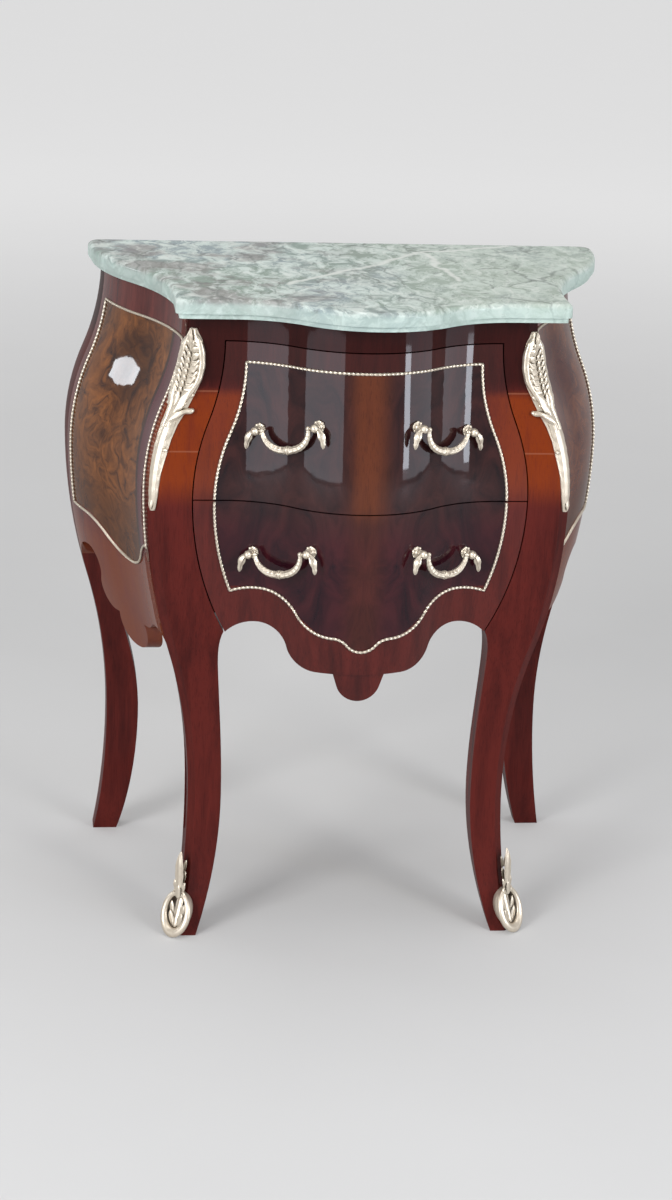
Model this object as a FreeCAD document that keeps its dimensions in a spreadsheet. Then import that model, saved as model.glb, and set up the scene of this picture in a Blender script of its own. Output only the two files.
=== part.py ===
import FreeCAD, Part
import math
import os
import re
from types import SimpleNamespace

# A small two-drawer chest with a swelling (bombe) front and sides, cabriole legs, gilt mounts
# and a loose stone slab on top. Millimetres. X runs to the right, Y to the back, Z up.
# The origin is on the floor under the middle of the chest.

Vector = FreeCAD.Vector

doc = FreeCAD.newDocument("chest_of_drawers")

# Driving sizes, piece by piece

SIZES = {
    "slab": {
        "slab_thickness": 22,
        "slab_front_overhang": 28,
        "slab_side_overhang": 25,
        "slab_back_overhang": 6,
        "slab_shift": 8,
        "slab_front_round": 9,
        "slab_rear_round": 18,
        "slab_foot_inset": 4,
        "slab_foot_depth": 6,
        "slab_edge_round": 6,
    },
    "case outline seen from above": {
        "case_tall": 758,
        "front_depth": 190,
        "back_depth": 212,
        "corner_half_width": 198,
        "back_half_width": 291,
        "side_bend_depth": 116,
        "bow_depth": 60,
        "bow_half_span": 158,
    },
    "swell of the front and sides with height": {
        "belly_level": 541,
        "ankle_level": 174,
        "side_belly": 45,
        "side_ankle": 8,
        "side_toe": 8,
        "front_belly": 18,
        "front_ankle": 18,
        "front_toe": 8,
    },
    "front legs": {
        "corner_cant": 12,
        "ankle_cant": 8,
        "leg_back_depth": 90,
        "ankle_back_depth": 76,
        "toe_back_depth": 110,
        "knee_half_gap": 158,
        "knee_level": 330,
        "ankle_half_gap": 151,
        "toe_half_gap": 180,
    },
    "back legs": {
        "back_leg_width": 42,
        "back_leg_depth": 46,
        "back_ankle_width": 42,
        "back_ankle_depth": 30,
        "back_toe_width": 31,
        "back_toe_depth": 26,
        "back_toe_flare": 6,
    },
    "panels and rails of the case": {
        "panel_thickness": 18,
        "back_panel_thickness": 8,
        "back_panel_inset": 4,
        "top_board_thickness": 12,
        "bottom_board_thickness": 8,
        "rail_thickness": 20,
        "front_rail_depth": 32,
        "case_floor": 404,
        "runner_tall": 12,
        "kicker_width": 20,
        "stop_margin": 10,
        "divider_tall": 17,
        "back_rail_tall": 36,
        "stop_width": 30,
        "stop_tall": 20,
        "kicker_tall": 22,
        "board_gap": 0.2,
    },
    "side apron": {
        "side_apron_junction": 388,
        "side_apron_crest": 418,
        "side_front_junction": 348,
        "side_front_crest": 358,
        "side_apron_ledge": 345,
        "side_apron_lobe": 308,
        "side_lobe_half_width": 26,
        "side_ledge_half_width": 33,
        "side_crest_half_width": 70,
    },
    "drawers": {
        "frieze_tall": 28.5,
        "divide_level": 548,
        "front_thickness": 20,
        "front_gap": 1.5,
        "drawer_top_half_width": 157,
        "drawer_belly_half_width": 192,
        "drawer_foot_half_width": 152,
        "box_side_margin": 2,
        "box_half_width": "=min(drawer_top_half_width; drawer_foot_half_width) - box_side_margin",
        "box_board": 10,
        "stop_depth": 15,
        "box_back_depth": "=back_depth - back_panel_inset - back_panel_thickness - rail_thickness - stop_depth",
        "drawer_bottom_thickness": 6,
        "drawer_bottom_rise": 6,
        "groove_depth": 4,
        "groove_gap": 0.1,
        "upper_box_floor": 556,
        "upper_box_tall": 165,
        "lower_box_floor": 418,
        "lower_box_tall": 118,
        "slide_gap": 0.3,
        "runner_width": 28,
        "guide_gap": 0.8,
        "guide_width": 8,
        "guide_tall": 18,
    },
    "front apron": {
        "apron_junction": 386,
        "apron_crest": 402,
        "apron_ledge": 351,
        "apron_crest_half_width": 115,
        "apron_ledge_half_width": 50,
        "pendant_half_width": 30,
        "pendant_waist_half_width": 25,
        "pendant_shoulder": 335,
        "pendant_tip": 316,
        "pendant_thickness": 16,
        "pendant_inset": 3,
    },
    "gilt trim": {
        "trim_width": 5,
        "trim_thickness": 2.4,
        "trim_seat_gap": 0.2,
        "trim_top": 706,
        "trim_belly": 545,
        "trim_top_half_width": 134,
        "trim_belly_half_width": 168,
        "trim_foot_half_width": 148,
        "trim_foot": 439,
        "trim_crest": 445,
        "trim_crest_half_width": 115,
        "trim_shoulder": 397,
        "trim_shoulder_half_width": 33,
        "trim_point": 381,
        "side_trim_top": 720,
        "side_trim_foot": 464,
        "side_trim_front_foot": 472,
        "side_trim_point": 430,
        "side_trim_point_depth": 0,
        "side_trim_bend": 100,
        "side_trim_front_margin": 6,
        "side_trim_back_margin": 26,
    },
    "corner mounts and sabots": {
        "mount_thickness": 4,
        "mount_top": 742,
        "mount_foot": 535,
        "mount_front_reach": "=(corner_half_width - drawer_top_half_width) / 2",
        "mount_side_reach": 16,
        "mount_edge": 1.5,
        "sabot_thickness": 9,
        "sabot_tip_thickness": 3,
        "sabot_sink": 17,
        "sabot_rise": 1.5,
        "sabot_ring_half_width": 20,
        "sabot_ring_tall": 52,
        "sabot_bar": 6,
        "sabot_leaf_half_width": 9,
        "sabot_tip": 103,
        "sabot_widest_share": 0.35,
        "plate_sink": 2,
    },
    "handles": {
        "upper_inner_half_span": 55,
        "upper_outer_half_span": "=drawer_foot_half_width - 34",
        "upper_inner_level": 645,
        "upper_outer_level": 632,
        "lower_inner_half_span": 60,
        "lower_outer_half_span": "=drawer_foot_half_width - 29.5",
        "lower_inner_level": 500,
        "lower_outer_level": 488,
        "handle_standoff": 12,
        "handle_ball_radius": 5,
        "handle_neck_radius": 3.2,
        "handle_rose_radius": 6.5,
        "handle_rose_thickness": 2,
        "handle_stud_radius": 2,
        "stud_hole_gap": 0.15,
        "stud_tail": 9,
        "nut_radius": 5,
        "nut_thickness": 4,
        "leaf_reach": 11,
        "leaf_drop": 22,
        "leaf_stem_radius": 2.4,
        "leaf_bud_radius": 3.6,
        "leaf_tip_radius": 1,
        "pin_radius": 1.6,
        "pin_gap": 0.05,
        "pin_length": 3.5,
        "bail_side_gap": 0.4,
        "bail_drop": 27,
        "bail_end_radius": 2.2,
        "bail_knob_radius": 2.9,
        "bail_middle_radius": 4.4,
    },
    "cutters": {
        "overrun": 30,
    },
}

sheet = doc.addObject("Spreadsheet::Sheet", "sizes")
row = 0
for heading, group in SIZES.items():
    row += 1
    sheet.set("A%d" % row, heading)
    for alias, value in group.items():
        row += 1
        sheet.set("A%d" % row, alias)
        sheet.set("B%d" % row, str(value))  # a value that starts with = is worked out from other sizes
        sheet.setAlias("B%d" % row, alias)
doc.recompute()
WORDS = [alias for group in SIZES.values() for alias in group]
d = SimpleNamespace(**{alias: float(sheet.get(alias)) for alias in WORDS})


def bound(text):
    """An expression written in the sheet's aliases, with the sheet's name put before each."""
    return re.sub(r"[a-z][a-z_]*", lambda m: "sizes." + m.group(0) if m.group(0) in WORDS else m.group(0), text)


def solid_of(label, shape):
    """A document object that holds a shape worked out below from the sheet's sizes."""
    item = doc.addObject("Part::Feature", label)
    item.Label = label
    item.Shape = shape
    return item


def box(label, x_range, y_range, z_range):
    """A board between three pairs of planes, each written as an expression."""
    item = doc.addObject("Part::Box", label)
    item.Label = label
    for name, axis, (low, high) in (("Length", "x", x_range), ("Width", "y", y_range), ("Height", "z", z_range)):
        item.setExpression(name, bound("(%s) - (%s)" % (high, low)))
        item.setExpression("Placement.Base.%s" % axis, bound(low))
    return item


def joined(kind, label, first, second):
    item = doc.addObject("Part::%s" % kind, label)
    item.Label = label
    item.Base = first
    item.Tool = second
    return item


def common(label, first, second):
    return joined("Common", label, first, second)


def cut(label, first, second):
    return joined("Cut", label, first, second)


def several(kind, label, items):
    item = doc.addObject("Part::%s" % kind, label)
    item.Label = label
    item.Shapes = items
    return item


def mirrored(label, source):
    """The left-hand twin of a right-hand piece."""
    item = doc.addObject("Part::Mirroring", label)
    item.Label = label
    item.Source = source
    item.Normal = Vector(1, 0, 0)
    return item


# Curves that the whole chest shares


def ogee(start, end):
    """Two equal tangent arcs from start to end, given as (along, out) pairs.

    Both ends run along the first coordinate. Returns two arcs of three points each.
    """
    run = end[0] - start[0]
    rise = end[1] - start[1]
    radius = (run ** 2 + rise ** 2) / (4 * abs(rise))
    half_turn = math.asin(abs(run) / 2 / radius) / 2
    along = math.copysign(radius * math.sin(half_turn), run)
    out = math.copysign(radius - radius * math.cos(half_turn), rise)
    middle = (start[0] + run / 2, start[1] + rise / 2)
    first = (start, (start[0] + along, start[1] + out), middle)
    second = (middle, (end[0] - along, end[1] - out), end)
    return [first, second]


def ogee_height(along, start, end):
    """How far out the same curve stands at a place along it."""
    run = abs(end[0] - start[0])
    rise = end[1] - start[1]
    radius = (run ** 2 + rise ** 2) / (4 * abs(rise))
    share = min(max(abs(along - start[0]), 0), run)
    if share < run / 2:
        out = radius - math.sqrt(radius ** 2 - share ** 2)
        return start[1] + math.copysign(out, rise)
    out = radius - math.sqrt(radius ** 2 - (run - share) ** 2)
    return end[1] - math.copysign(out, rise)


def sweep_out(start, end):
    """One arc that leaves start along the first coordinate and ends at end."""
    run = end[0] - start[0]
    rise = end[1] - start[1]
    radius = (run ** 2 + rise ** 2) / (2 * abs(rise))
    half_turn = math.asin(abs(run) / radius) / 2
    along = math.copysign(radius * math.sin(half_turn), run)
    out = math.copysign(radius - radius * math.cos(half_turn), rise)
    return (start, (start[0] + along, start[1] + out), end)


def sweep_out_height(along, start, end):
    run = end[0] - start[0]
    rise = end[1] - start[1]
    radius = (run ** 2 + rise ** 2) / (2 * abs(rise))
    out = radius - math.sqrt(radius ** 2 - (along - start[0]) ** 2)
    return start[1] + math.copysign(out, rise)


def arcs(triples, place):
    return [Part.Arc(place(*a), place(*b), place(*c)).toShape() for a, b, c in triples]


def line(a, b):
    return Part.makeLine(a, b)


def backwards(triples):
    return [tuple(reversed(triple)) for triple in reversed(triples)]


def swell(belly, ankle, toe):
    """The swell from the top of the case down to the floor, as arcs of (level, out)."""
    top = (d.case_tall, 0)
    fullest = (d.belly_level, belly)
    waist = (d.ankle_level, -ankle)
    return ogee(top, fullest) + ogee(fullest, waist) + [sweep_out(waist, (0, toe))]


def swell_at(level, belly, ankle, toe):
    if level >= d.belly_level:
        return ogee_height(level, (d.case_tall, 0), (d.belly_level, belly))
    if level >= d.ankle_level:
        return ogee_height(level, (d.belly_level, belly), (d.ankle_level, -ankle))
    return sweep_out_height(level, (d.ankle_level, -ankle), (0, toe))


FRONT = (d.front_belly, d.front_ankle, d.front_toe)
SIDE = (d.side_belly, d.side_ankle, d.side_toe)
DIAGONAL = math.sqrt(2)
# Along the diagonal the canted corner has to follow both swells at once
CANT = (
    (d.side_belly + d.front_belly) / DIAGONAL,
    (d.side_ankle + d.front_ankle - d.corner_cant + d.ankle_cant) / DIAGONAL,
    (d.side_toe + d.front_toe + d.corner_cant - d.ankle_cant) / DIAGONAL,
)


def front_at(x, level):
    """The y of the swelling front at a place on it."""
    bow = ogee_height(abs(x), (0, 0), (d.bow_half_span, d.bow_depth))
    return -d.front_depth + bow - swell_at(level, *FRONT)


def side_at(y, level):
    """The half width of the chest at a place on its side."""
    out = ogee_height(y, (-d.side_bend_depth, d.corner_half_width), (d.back_depth, d.back_half_width))
    return out + swell_at(level, *SIDE)


def swept(section, spine):
    """A closed plan section carried down a spine without turning."""
    maker = Part.BRepOffsetAPI.MakePipeShell(Part.Wire(spine))
    maker.setTrihedronMode(Vector(0, 0, 0), Vector(0, 0, 1))
    maker.add(section)
    maker.build()
    maker.makeSolid()
    return maker.shape()


FRONT_SPINE = arcs(swell(*FRONT), lambda level, out: Vector(0, -out, level))
SIDE_SPINE = arcs(swell(*SIDE), lambda level, out: Vector(out, 0, level))
CANT_SPINE = arcs(swell(*CANT), lambda level, out: Vector(out / DIAGONAL, -out / DIAGONAL, level))

WIDE = d.back_half_width + d.side_belly + d.overrun
DEEP = d.front_depth + d.front_belly + d.overrun


def front_curve(y, half_width, level):
    """The serpentine front in plan, from left to right, with its middle at y."""
    right = ogee((0, y), (d.bow_half_span, y + d.bow_depth))
    flank = y + d.bow_depth

    def place(x, depth):
        return Vector(x, depth, level)

    def mirror(x, depth):
        return Vector(-x, depth, level)

    shoulder = right[0][2]
    return [
        line(mirror(half_width, flank), mirror(d.bow_half_span, flank)),
        Part.Arc(*[mirror(*point) for point in reversed(right[1])]).toShape(),
        Part.Arc(mirror(*shoulder), place(0, y), place(*shoulder)).toShape(),
        Part.Arc(*[place(*point) for point in right[1]]).toShape(),
        line(place(d.bow_half_span, flank), place(half_width, flank)),
    ]


def side_curve(inset, front, back, level, outward=0):
    """The side in plan from front to back, on the right."""

    def place(y, half_width):
        return Vector(half_width - inset + outward, y, level)

    start = (-d.side_bend_depth, d.corner_half_width)
    end = (d.back_depth, d.back_half_width)
    edges = [line(place(front, start[1]), place(*start))] if front < start[0] else []
    edges += arcs(ogee(start, end), place)
    if back > end[0]:
        edges.append(line(place(*end), place(back, end[1])))
    return edges


def ring(*runs):
    """One closed wire from runs of edges in any order."""
    return Part.Wire(Part.sortEdges([edge for run in runs for edge in run])[0])


def polyline(*points):
    return [line(a, b) for a, b in zip(points, points[1:])]


def flipped(shape):
    return shape.mirror(Vector(0, 0, 0), Vector(1, 0, 0))


def both(edges):
    """Edges on the right together with their mirror image on the left."""
    return edges + [flipped(edge) for edge in edges]


def layer(first, second, spine):
    """What lies between two open plan curves, carried down a spine."""
    start = line(first[0].Vertexes[0].Point, second[0].Vertexes[0].Point)
    end = line(first[-1].Vertexes[-1].Point, second[-1].Vertexes[-1].Point)
    return swept(ring(first, second, [start], [end]), spine)


def front_layer(near, far):
    """A skin of the swelling front, from near to far behind its face."""
    curves = [front_curve(-d.front_depth + setback, WIDE, d.case_tall) for setback in (near, far)]
    return layer(*curves, FRONT_SPINE)


def side_layer(near, far):
    """A skin of the swelling side on the right, from near to far inside its face."""
    curves = [side_curve(inset, -DEEP, DEEP, d.case_tall) for inset in (near, far)]
    return layer(*curves, SIDE_SPINE)


def behind_front(setback):
    """All that lies behind the swelling front, moved back by setback."""
    top = d.case_tall
    curve = front_curve(-d.front_depth + setback, WIDE, top)
    left, right = curve[0].Vertexes[0].Point, curve[-1].Vertexes[-1].Point
    far = polyline(left, Vector(-WIDE, DEEP, top), Vector(WIDE, DEEP, top), right)
    return swept(ring(curve, far), FRONT_SPINE)


def inside_side(inset):
    """All that lies inside the swelling side on the right, moved in by inset."""
    top = d.case_tall
    curve = side_curve(inset, -DEEP, DEEP, top)
    front, back = curve[0].Vertexes[0].Point, curve[-1].Vertexes[-1].Point
    far = polyline(front, Vector(-WIDE, -DEEP, top), Vector(-WIDE, DEEP, top), back)
    return swept(ring(curve, far), SIDE_SPINE)


def between_sides(inset):
    region = inside_side(inset)
    return region.common(flipped(region))


def inside_cant():
    """All that lies behind the canted front corner on the right."""
    top = d.case_tall
    middle = Vector(d.corner_half_width - d.corner_cant / 2, -d.front_depth + d.bow_depth + d.corner_cant / 2, top)
    along = Vector(WIDE, WIDE, 0)
    back = Vector(-WIDE, WIDE, 0)
    corners = [middle - along, middle + along, middle + along + back, middle - along + back, middle - along]
    return swept(ring(polyline(*corners)), CANT_SPINE)


def on_front(x, level):
    return Vector(x, 0, level)


def on_side(y, level):
    return Vector(0, y, level)


def swapped(place):
    """The same placing function with its two coordinates exchanged."""
    return lambda a, b: place(b, a)


def through_y(wire):
    """A cutter along Y from a closed outline in (x, level)."""
    outline = wire.copy()
    outline.translate(Vector(0, -DEEP, 0))
    return Part.Face(outline).extrude(Vector(0, 2 * DEEP, 0))


def through_x(wire):
    """A cutter along X, on the right-hand side, from a closed outline in (y, level)."""
    return Part.Face(wire).extrude(Vector(WIDE, 0, 0))


def smooth(points, place, ends):
    """A smooth edge through (along, level) points that starts and ends along given directions."""
    curve = Part.BSplineCurve()
    first, last = [place(*end) for end in ends]
    curve.interpolate(Points=[place(*point) for point in points], InitialTangent=first, FinalTangent=last)
    return curve.toShape()


# Outlines seen from the front, on the right-hand side

drawer_top = d.case_tall - d.frieze_tall
above = d.case_tall + d.overrun
below = -d.overrun


def drawer_edge(gap):
    """The bowed side edge of the drawers, or of the post beside them, gap further out."""
    top = (drawer_top, d.drawer_top_half_width + gap)
    widest = (d.divide_level, d.drawer_belly_half_width + gap)
    foot = (d.apron_junction, d.drawer_foot_half_width + gap)
    edges = polyline(on_front(top[1], above), on_front(top[1], top[0]))
    return edges + arcs(ogee(top, widest) + [sweep_out(widest, foot)], swapped(on_front))


def apron_edge():
    """The scalloped lower edge of the front, from the leg to the ledge beside the middle."""
    foot = (d.drawer_foot_half_width, d.apron_junction)
    crest = (d.apron_crest_half_width, d.apron_crest)
    ledge = (d.apron_ledge_half_width, d.apron_ledge)
    edges = arcs([sweep_out(crest, foot)] + ogee(crest, ledge), on_front)
    return edges + polyline(on_front(*ledge), on_front(0, d.apron_ledge))


def drawer_outline():
    top = polyline(on_front(0, above), on_front(d.drawer_top_half_width, above))
    return ring(both(top + drawer_edge(0) + apron_edge()))


def post_opening():
    """The opening between the two front posts."""
    half_foot = d.drawer_foot_half_width + d.front_gap
    top = polyline(on_front(0, above), on_front(d.drawer_top_half_width + d.front_gap, above))
    foot = polyline(on_front(half_foot, d.apron_junction), on_front(0, d.apron_junction))
    return ring(both(top + drawer_edge(d.front_gap) + foot))


def front_leg_from_front():
    knee = d.drawer_foot_half_width + d.front_gap
    inner = smooth(
        [(knee, d.apron_junction), (d.knee_half_gap, d.knee_level), (d.ankle_half_gap, d.ankle_level)],
        on_front,
        [(1, -2), (0, -1)],
    )
    toe = arcs([sweep_out((d.ankle_level, d.ankle_half_gap), (0, d.toe_half_gap))], swapped(on_front))
    rest = polyline(
        on_front(d.toe_half_gap, 0),
        on_front(d.toe_half_gap, below),
        on_front(WIDE, below),
        on_front(WIDE, above),
        on_front(d.drawer_top_half_width + d.front_gap, above),
    )
    return ring(drawer_edge(d.front_gap), [inner], toe, rest)


def front_leg_from_side():
    back = smooth(
        [(-d.leg_back_depth, d.side_front_junction), (-d.ankle_back_depth, d.ankle_level)],
        on_side,
        [(0, -1), (0, -1)],
    )
    toe = arcs([sweep_out((d.ankle_level, -d.ankle_back_depth), (0, -d.toe_back_depth))], swapped(on_side))
    rest = polyline(
        on_side(-d.toe_back_depth, 0),
        on_side(-d.toe_back_depth, below),
        on_side(-DEEP, below),
        on_side(-DEEP, above),
        on_side(-d.leg_back_depth, above),
        on_side(-d.leg_back_depth, d.side_front_junction),
    )
    return ring([back], toe, rest)


# Outlines seen from the side

back_leg_front = d.back_depth - d.back_leg_depth
rail_front = d.back_depth - d.back_panel_thickness - d.rail_thickness - d.back_panel_inset
panel_front = rail_front + d.rail_thickness
side_middle = (back_leg_front - d.leg_back_depth) / 2


def back_leg_from_side():
    ankle_back = d.back_depth
    toe_back = d.back_depth + d.back_toe_flare
    front = smooth(
        [(back_leg_front, d.side_apron_junction), (ankle_back - d.back_ankle_depth, d.ankle_level)],
        on_side,
        [(0, -1), (0, -1)],
    )
    toe_front = smooth(
        [(ankle_back - d.back_ankle_depth, d.ankle_level), (toe_back - d.back_toe_depth, 0)],
        on_side,
        [(0, -1), (1, -2 * DIAGONAL)],
    )
    toe = arcs([sweep_out((d.ankle_level, ankle_back), (0, toe_back))], swapped(on_side))
    rest = polyline(
        on_side(toe_back - d.back_toe_depth, 0),
        on_side(toe_back, 0),
    )
    head = polyline(
        on_side(ankle_back, d.ankle_level),
        on_side(ankle_back, above),
        on_side(back_leg_front, above),
        on_side(back_leg_front, d.side_apron_junction),
    )
    return ring([front, toe_front], toe, rest, head)


def back_leg_from_front():
    """The inner side of a back leg, which leaves the post's own width below the apron."""
    outer = [side_at(d.back_depth, level) for level in (d.side_apron_junction, d.ankle_level, 0)]
    widths = (d.back_leg_width + d.overrun, d.back_ankle_width, d.back_toe_width)
    head, ankle, toe = [out - width for out, width in zip(outer, widths)]
    post = outer[0] - d.back_leg_width
    inner = smooth([(post, d.side_apron_junction), (ankle, d.ankle_level)], on_front, [(0, -1), (0, -1)])
    foot = arcs([sweep_out((d.ankle_level, ankle), (0, toe))], swapped(on_front))
    rest = polyline(
        on_front(toe, 0),
        on_front(toe, below),
        on_front(WIDE, below),
        on_front(WIDE, above),
        on_front(head, above),
        on_front(head, d.side_apron_junction),
        on_front(post, d.side_apron_junction),
    )
    return ring([inner], foot, rest)


def side_panel_outline():
    """The side panel with its scalloped foot, front to back."""
    back_foot = (back_leg_front, d.side_apron_junction)
    front_foot = (-d.leg_back_depth, d.side_front_junction)
    tip = (side_middle, d.side_apron_lobe)
    edges = polyline(
        on_side(*back_foot), on_side(back_foot[0], above), on_side(front_foot[0], above), on_side(*front_foot)
    )
    for sign, foot, crest_level in ((1, back_foot, d.side_apron_crest), (-1, front_foot, d.side_front_crest)):
        crest = (side_middle + sign * d.side_crest_half_width, crest_level)
        ledge = (side_middle + sign * d.side_ledge_half_width, d.side_apron_ledge)
        lobe = (side_middle + sign * d.side_lobe_half_width, d.side_apron_ledge)
        edges += arcs([sweep_out(crest, foot)] + ogee(crest, ledge) + [quarter(lobe, tip)], on_side)
        edges += polyline(on_side(*ledge), on_side(*lobe))
    return ring(edges)


def quarter(edge, tip):
    """An arc from the shoulder of a lobe to its tip, where it runs level."""
    run = abs(edge[0] - tip[0])
    rise = edge[1] - tip[1]
    radius = (run ** 2 + rise ** 2) / (2 * rise)
    half_turn = math.atan2(run, radius - rise) / 2
    along = math.copysign(radius * math.sin(half_turn), edge[0] - tip[0])
    middle = (tip[0] + along, tip[1] + radius - radius * math.cos(half_turn))
    return (edge, middle, tip)


# The case: legs, side panels, rails and boards

everything_inside = inside_side(0)
behind_face = behind_front(0)

leg_block = behind_face.common(everything_inside).common(inside_cant())
leg_shape = leg_block.common(through_y(front_leg_from_front())).common(through_x(front_leg_from_side()))
front_leg = solid_of("front_leg_right", leg_shape)

post_skin = side_layer(0, d.back_leg_width)
back_leg_shape = post_skin.common(through_x(back_leg_from_side())).common(through_y(back_leg_from_front()))
back_leg = solid_of("back_leg_right", back_leg_shape)

panel_skin = side_layer(0, d.panel_thickness)
side_panel = solid_of("side_panel_right", panel_skin.common(through_x(side_panel_outline())))

inner_space = solid_of("space_between_panels", between_sides(d.panel_thickness + d.board_gap))
leg_space = solid_of("space_between_back_legs", between_sides(d.back_leg_width))
drawer_space = solid_of("space_behind_drawer_fronts", behind_front(d.front_thickness))
rail_space = solid_of("space_behind_closed_drawers", behind_front(d.front_thickness + d.front_gap))
frieze_space = solid_of("space_behind_frieze", behind_front(d.rail_thickness))
post_space = solid_of("space_between_front_posts", through_y(post_opening()))
drawer_shape = solid_of("drawer_face_outline", through_y(drawer_outline()))
front_skin = solid_of("front_skin", front_layer(0, d.front_thickness))
frieze_skin = solid_of("frieze_skin", front_layer(0, d.rail_thickness))

FULL_X = ("-(back_half_width + side_belly)", "back_half_width + side_belly")
POST_REAR = "-leg_back_depth"
RAIL_FRONT = "back_depth - back_panel_inset - back_panel_thickness - rail_thickness"
RAIL_REAR = "back_depth - back_panel_inset - back_panel_thickness"
LEG_FRONT = "back_depth - back_leg_depth - board_gap"
FRIEZE_FOOT = "case_tall - frieze_tall"


def inner_board(label, z_range):
    """A level board between the side panels that also fills in between the back legs."""
    middle = common(label + "_middle", box(label + "_blank", FULL_X, (POST_REAR, LEG_FRONT), z_range), inner_space)
    rear = common(label + "_rear", box(label + "_tail", FULL_X, (LEG_FRONT, RAIL_FRONT), z_range), leg_space)
    return [middle, rear]


def cross_rail(label, z_range, y_range=(RAIL_FRONT, RAIL_REAR)):
    return common(label, box(label + "_blank", FULL_X, y_range, z_range), leg_space)


def fused(label, items):
    item = several("MultiFuse", label, items)
    item.Refine = True
    return item


frieze_half = "drawer_top_half_width + front_gap"
frieze_band = box(
    "frieze_band",
    ("-(%s)" % frieze_half, frieze_half),
    ("-(front_depth + front_belly)", POST_REAR),
    (FRIEZE_FOOT, "case_tall"),
)
frieze_rail = common("frieze_rail", frieze_skin, frieze_band)

top_board_foot = "case_tall - top_board_thickness"
front_tongue = common(
    "top_board_tongue",
    box(
        "top_board_tongue_blank",
        ("-(%s)" % frieze_half, frieze_half),
        ("-(front_depth + front_belly)", POST_REAR),
        (top_board_foot, "case_tall"),
    ),
    frieze_space,
)
top_board = fused("top_board", [front_tongue] + inner_board("top_board", (top_board_foot, "case_tall")))
case_floor_top = "case_floor + bottom_board_thickness"
bottom_board = fused("bottom_board", inner_board("bottom_board", ("case_floor", case_floor_top)))

back_panel = cross_rail("back_panel", ("case_floor", "case_tall"), (RAIL_REAR, "back_depth - back_panel_inset"))
back_top_rail = cross_rail("back_top_rail", ("case_tall - back_rail_tall", "case_tall"))
runner_foot = "upper_box_floor - slide_gap - runner_tall"
back_middle_rail = cross_rail("back_middle_rail", (runner_foot, runner_foot + " + back_rail_tall"))
back_bottom_rail = cross_rail("back_bottom_rail", ("case_floor", "case_floor + back_rail_tall"))

rail_depth = ("-(leg_back_depth + front_rail_depth)", POST_REAR)
divider_top = "upper_box_floor - slide_gap"


def front_rail(label, z_range):
    return several("MultiCommon", label, [box(label + "_blank", FULL_X, rail_depth, z_range), post_space, rail_space])


divider_rail = front_rail("divider_rail", (divider_top + " - divider_tall", divider_top))
bottom_front_rail = front_rail("bottom_front_rail", ("case_floor", "lower_box_floor - slide_gap"))

runner_depth = (POST_REAR, RAIL_FRONT)
guide_side = "box_half_width + guide_gap"
guide_outside = guide_side + " + guide_width"


def runner(label, floor, foot):
    """An L-shaped runner: a shelf under the drawer side and a guide beside it."""
    top = floor + " - slide_gap"
    shelf = box(label + "_shelf", (guide_outside + " - runner_width", guide_outside), runner_depth, (foot, top))
    guide = box(label + "_guide", (guide_side, guide_outside), runner_depth, (top, top + " + guide_tall"))
    return fused(label, [shelf, guide])


upper_runner = runner("upper_runner_right", "upper_box_floor", runner_foot)
lower_runner = runner("lower_runner_right", "lower_box_floor", case_floor_top)
kicker = box(
    "kicker_right",
    ("box_half_width - kicker_width", "box_half_width"),
    runner_depth,
    (top_board_foot + " - kicker_tall", top_board_foot),
)


def drawer_stop(label, floor):
    edge = "box_half_width - box_board - stop_margin"
    return box(
        label,
        (edge + " - stop_width", edge),
        ("box_back_depth + slide_gap", RAIL_FRONT),
        (floor, floor + " + stop_tall"),
    )


stops = [drawer_stop("upper_stop_right", "upper_box_floor"), drawer_stop("lower_stop_right", "lower_box_floor")]
stops += [mirrored("upper_stop_left", stops[0]), mirrored("lower_stop_left", stops[1])]
drawer_stops = doc.addObject("Part::Compound", "drawer_stops")
drawer_stops.Label = "drawer_stops"
drawer_stops.Links = stops

# The drawers

drawer_bands = {
    "upper": ("divide_level + front_gap / 2", FRIEZE_FOOT + " - front_gap"),
    "lower": ("apron_ledge - overrun", "divide_level - front_gap / 2"),
}
drawer_parts = {"upper": [], "lower": []}
drawer_fronts = {}
for name in ("upper", "lower"):
    floor = name + "_box_floor"
    top = "%s_box_floor + %s_box_tall" % (name, name)
    deep = ("-front_depth", "box_back_depth")
    band = box(name + "_front_band", FULL_X, ("-(front_depth + front_belly)", POST_REAR), drawer_bands[name])
    face = several("MultiCommon", name + "_front_blank", [front_skin, drawer_shape, band])
    drawer_fronts[name] = face

    groove = box(
        name + "_groove",
        ("box_half_width - box_board - overrun", "box_half_width - box_board + groove_depth + groove_gap"),
        ("-(front_depth + overrun)", "box_back_depth - box_board"),
        (
            floor + " + drawer_bottom_rise - groove_gap",
            floor + " + drawer_bottom_rise + drawer_bottom_thickness + groove_gap",
        ),
    )
    side_blank = box(name + "_side_blank", ("box_half_width - box_board", "box_half_width"), deep, (floor, top))
    side_board = common(name + "_side_board", side_blank, drawer_space)
    side = cut(name + "_drawer_side_right", side_board, groove)
    twin = mirrored(name + "_drawer_side_left", side)

    inner_half = "box_half_width - box_board"
    back = box(
        name + "_drawer_back",
        ("-(%s)" % inner_half, inner_half),
        ("box_back_depth - box_board", "box_back_depth"),
        (floor, top),
    )
    bottom_half = inner_half + " + groove_depth"
    bottom = common(
        name + "_drawer_bottom",
        box(
            name + "_bottom_blank",
            ("-(%s)" % bottom_half, bottom_half),
            ("-front_depth", "box_back_depth - box_board"),
            (floor + " + drawer_bottom_rise", floor + " + drawer_bottom_rise + drawer_bottom_thickness"),
        ),
        drawer_space,
    )
    drawer_parts[name] += [side, twin, back, bottom]

# The pendant under the middle of the apron


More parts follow.
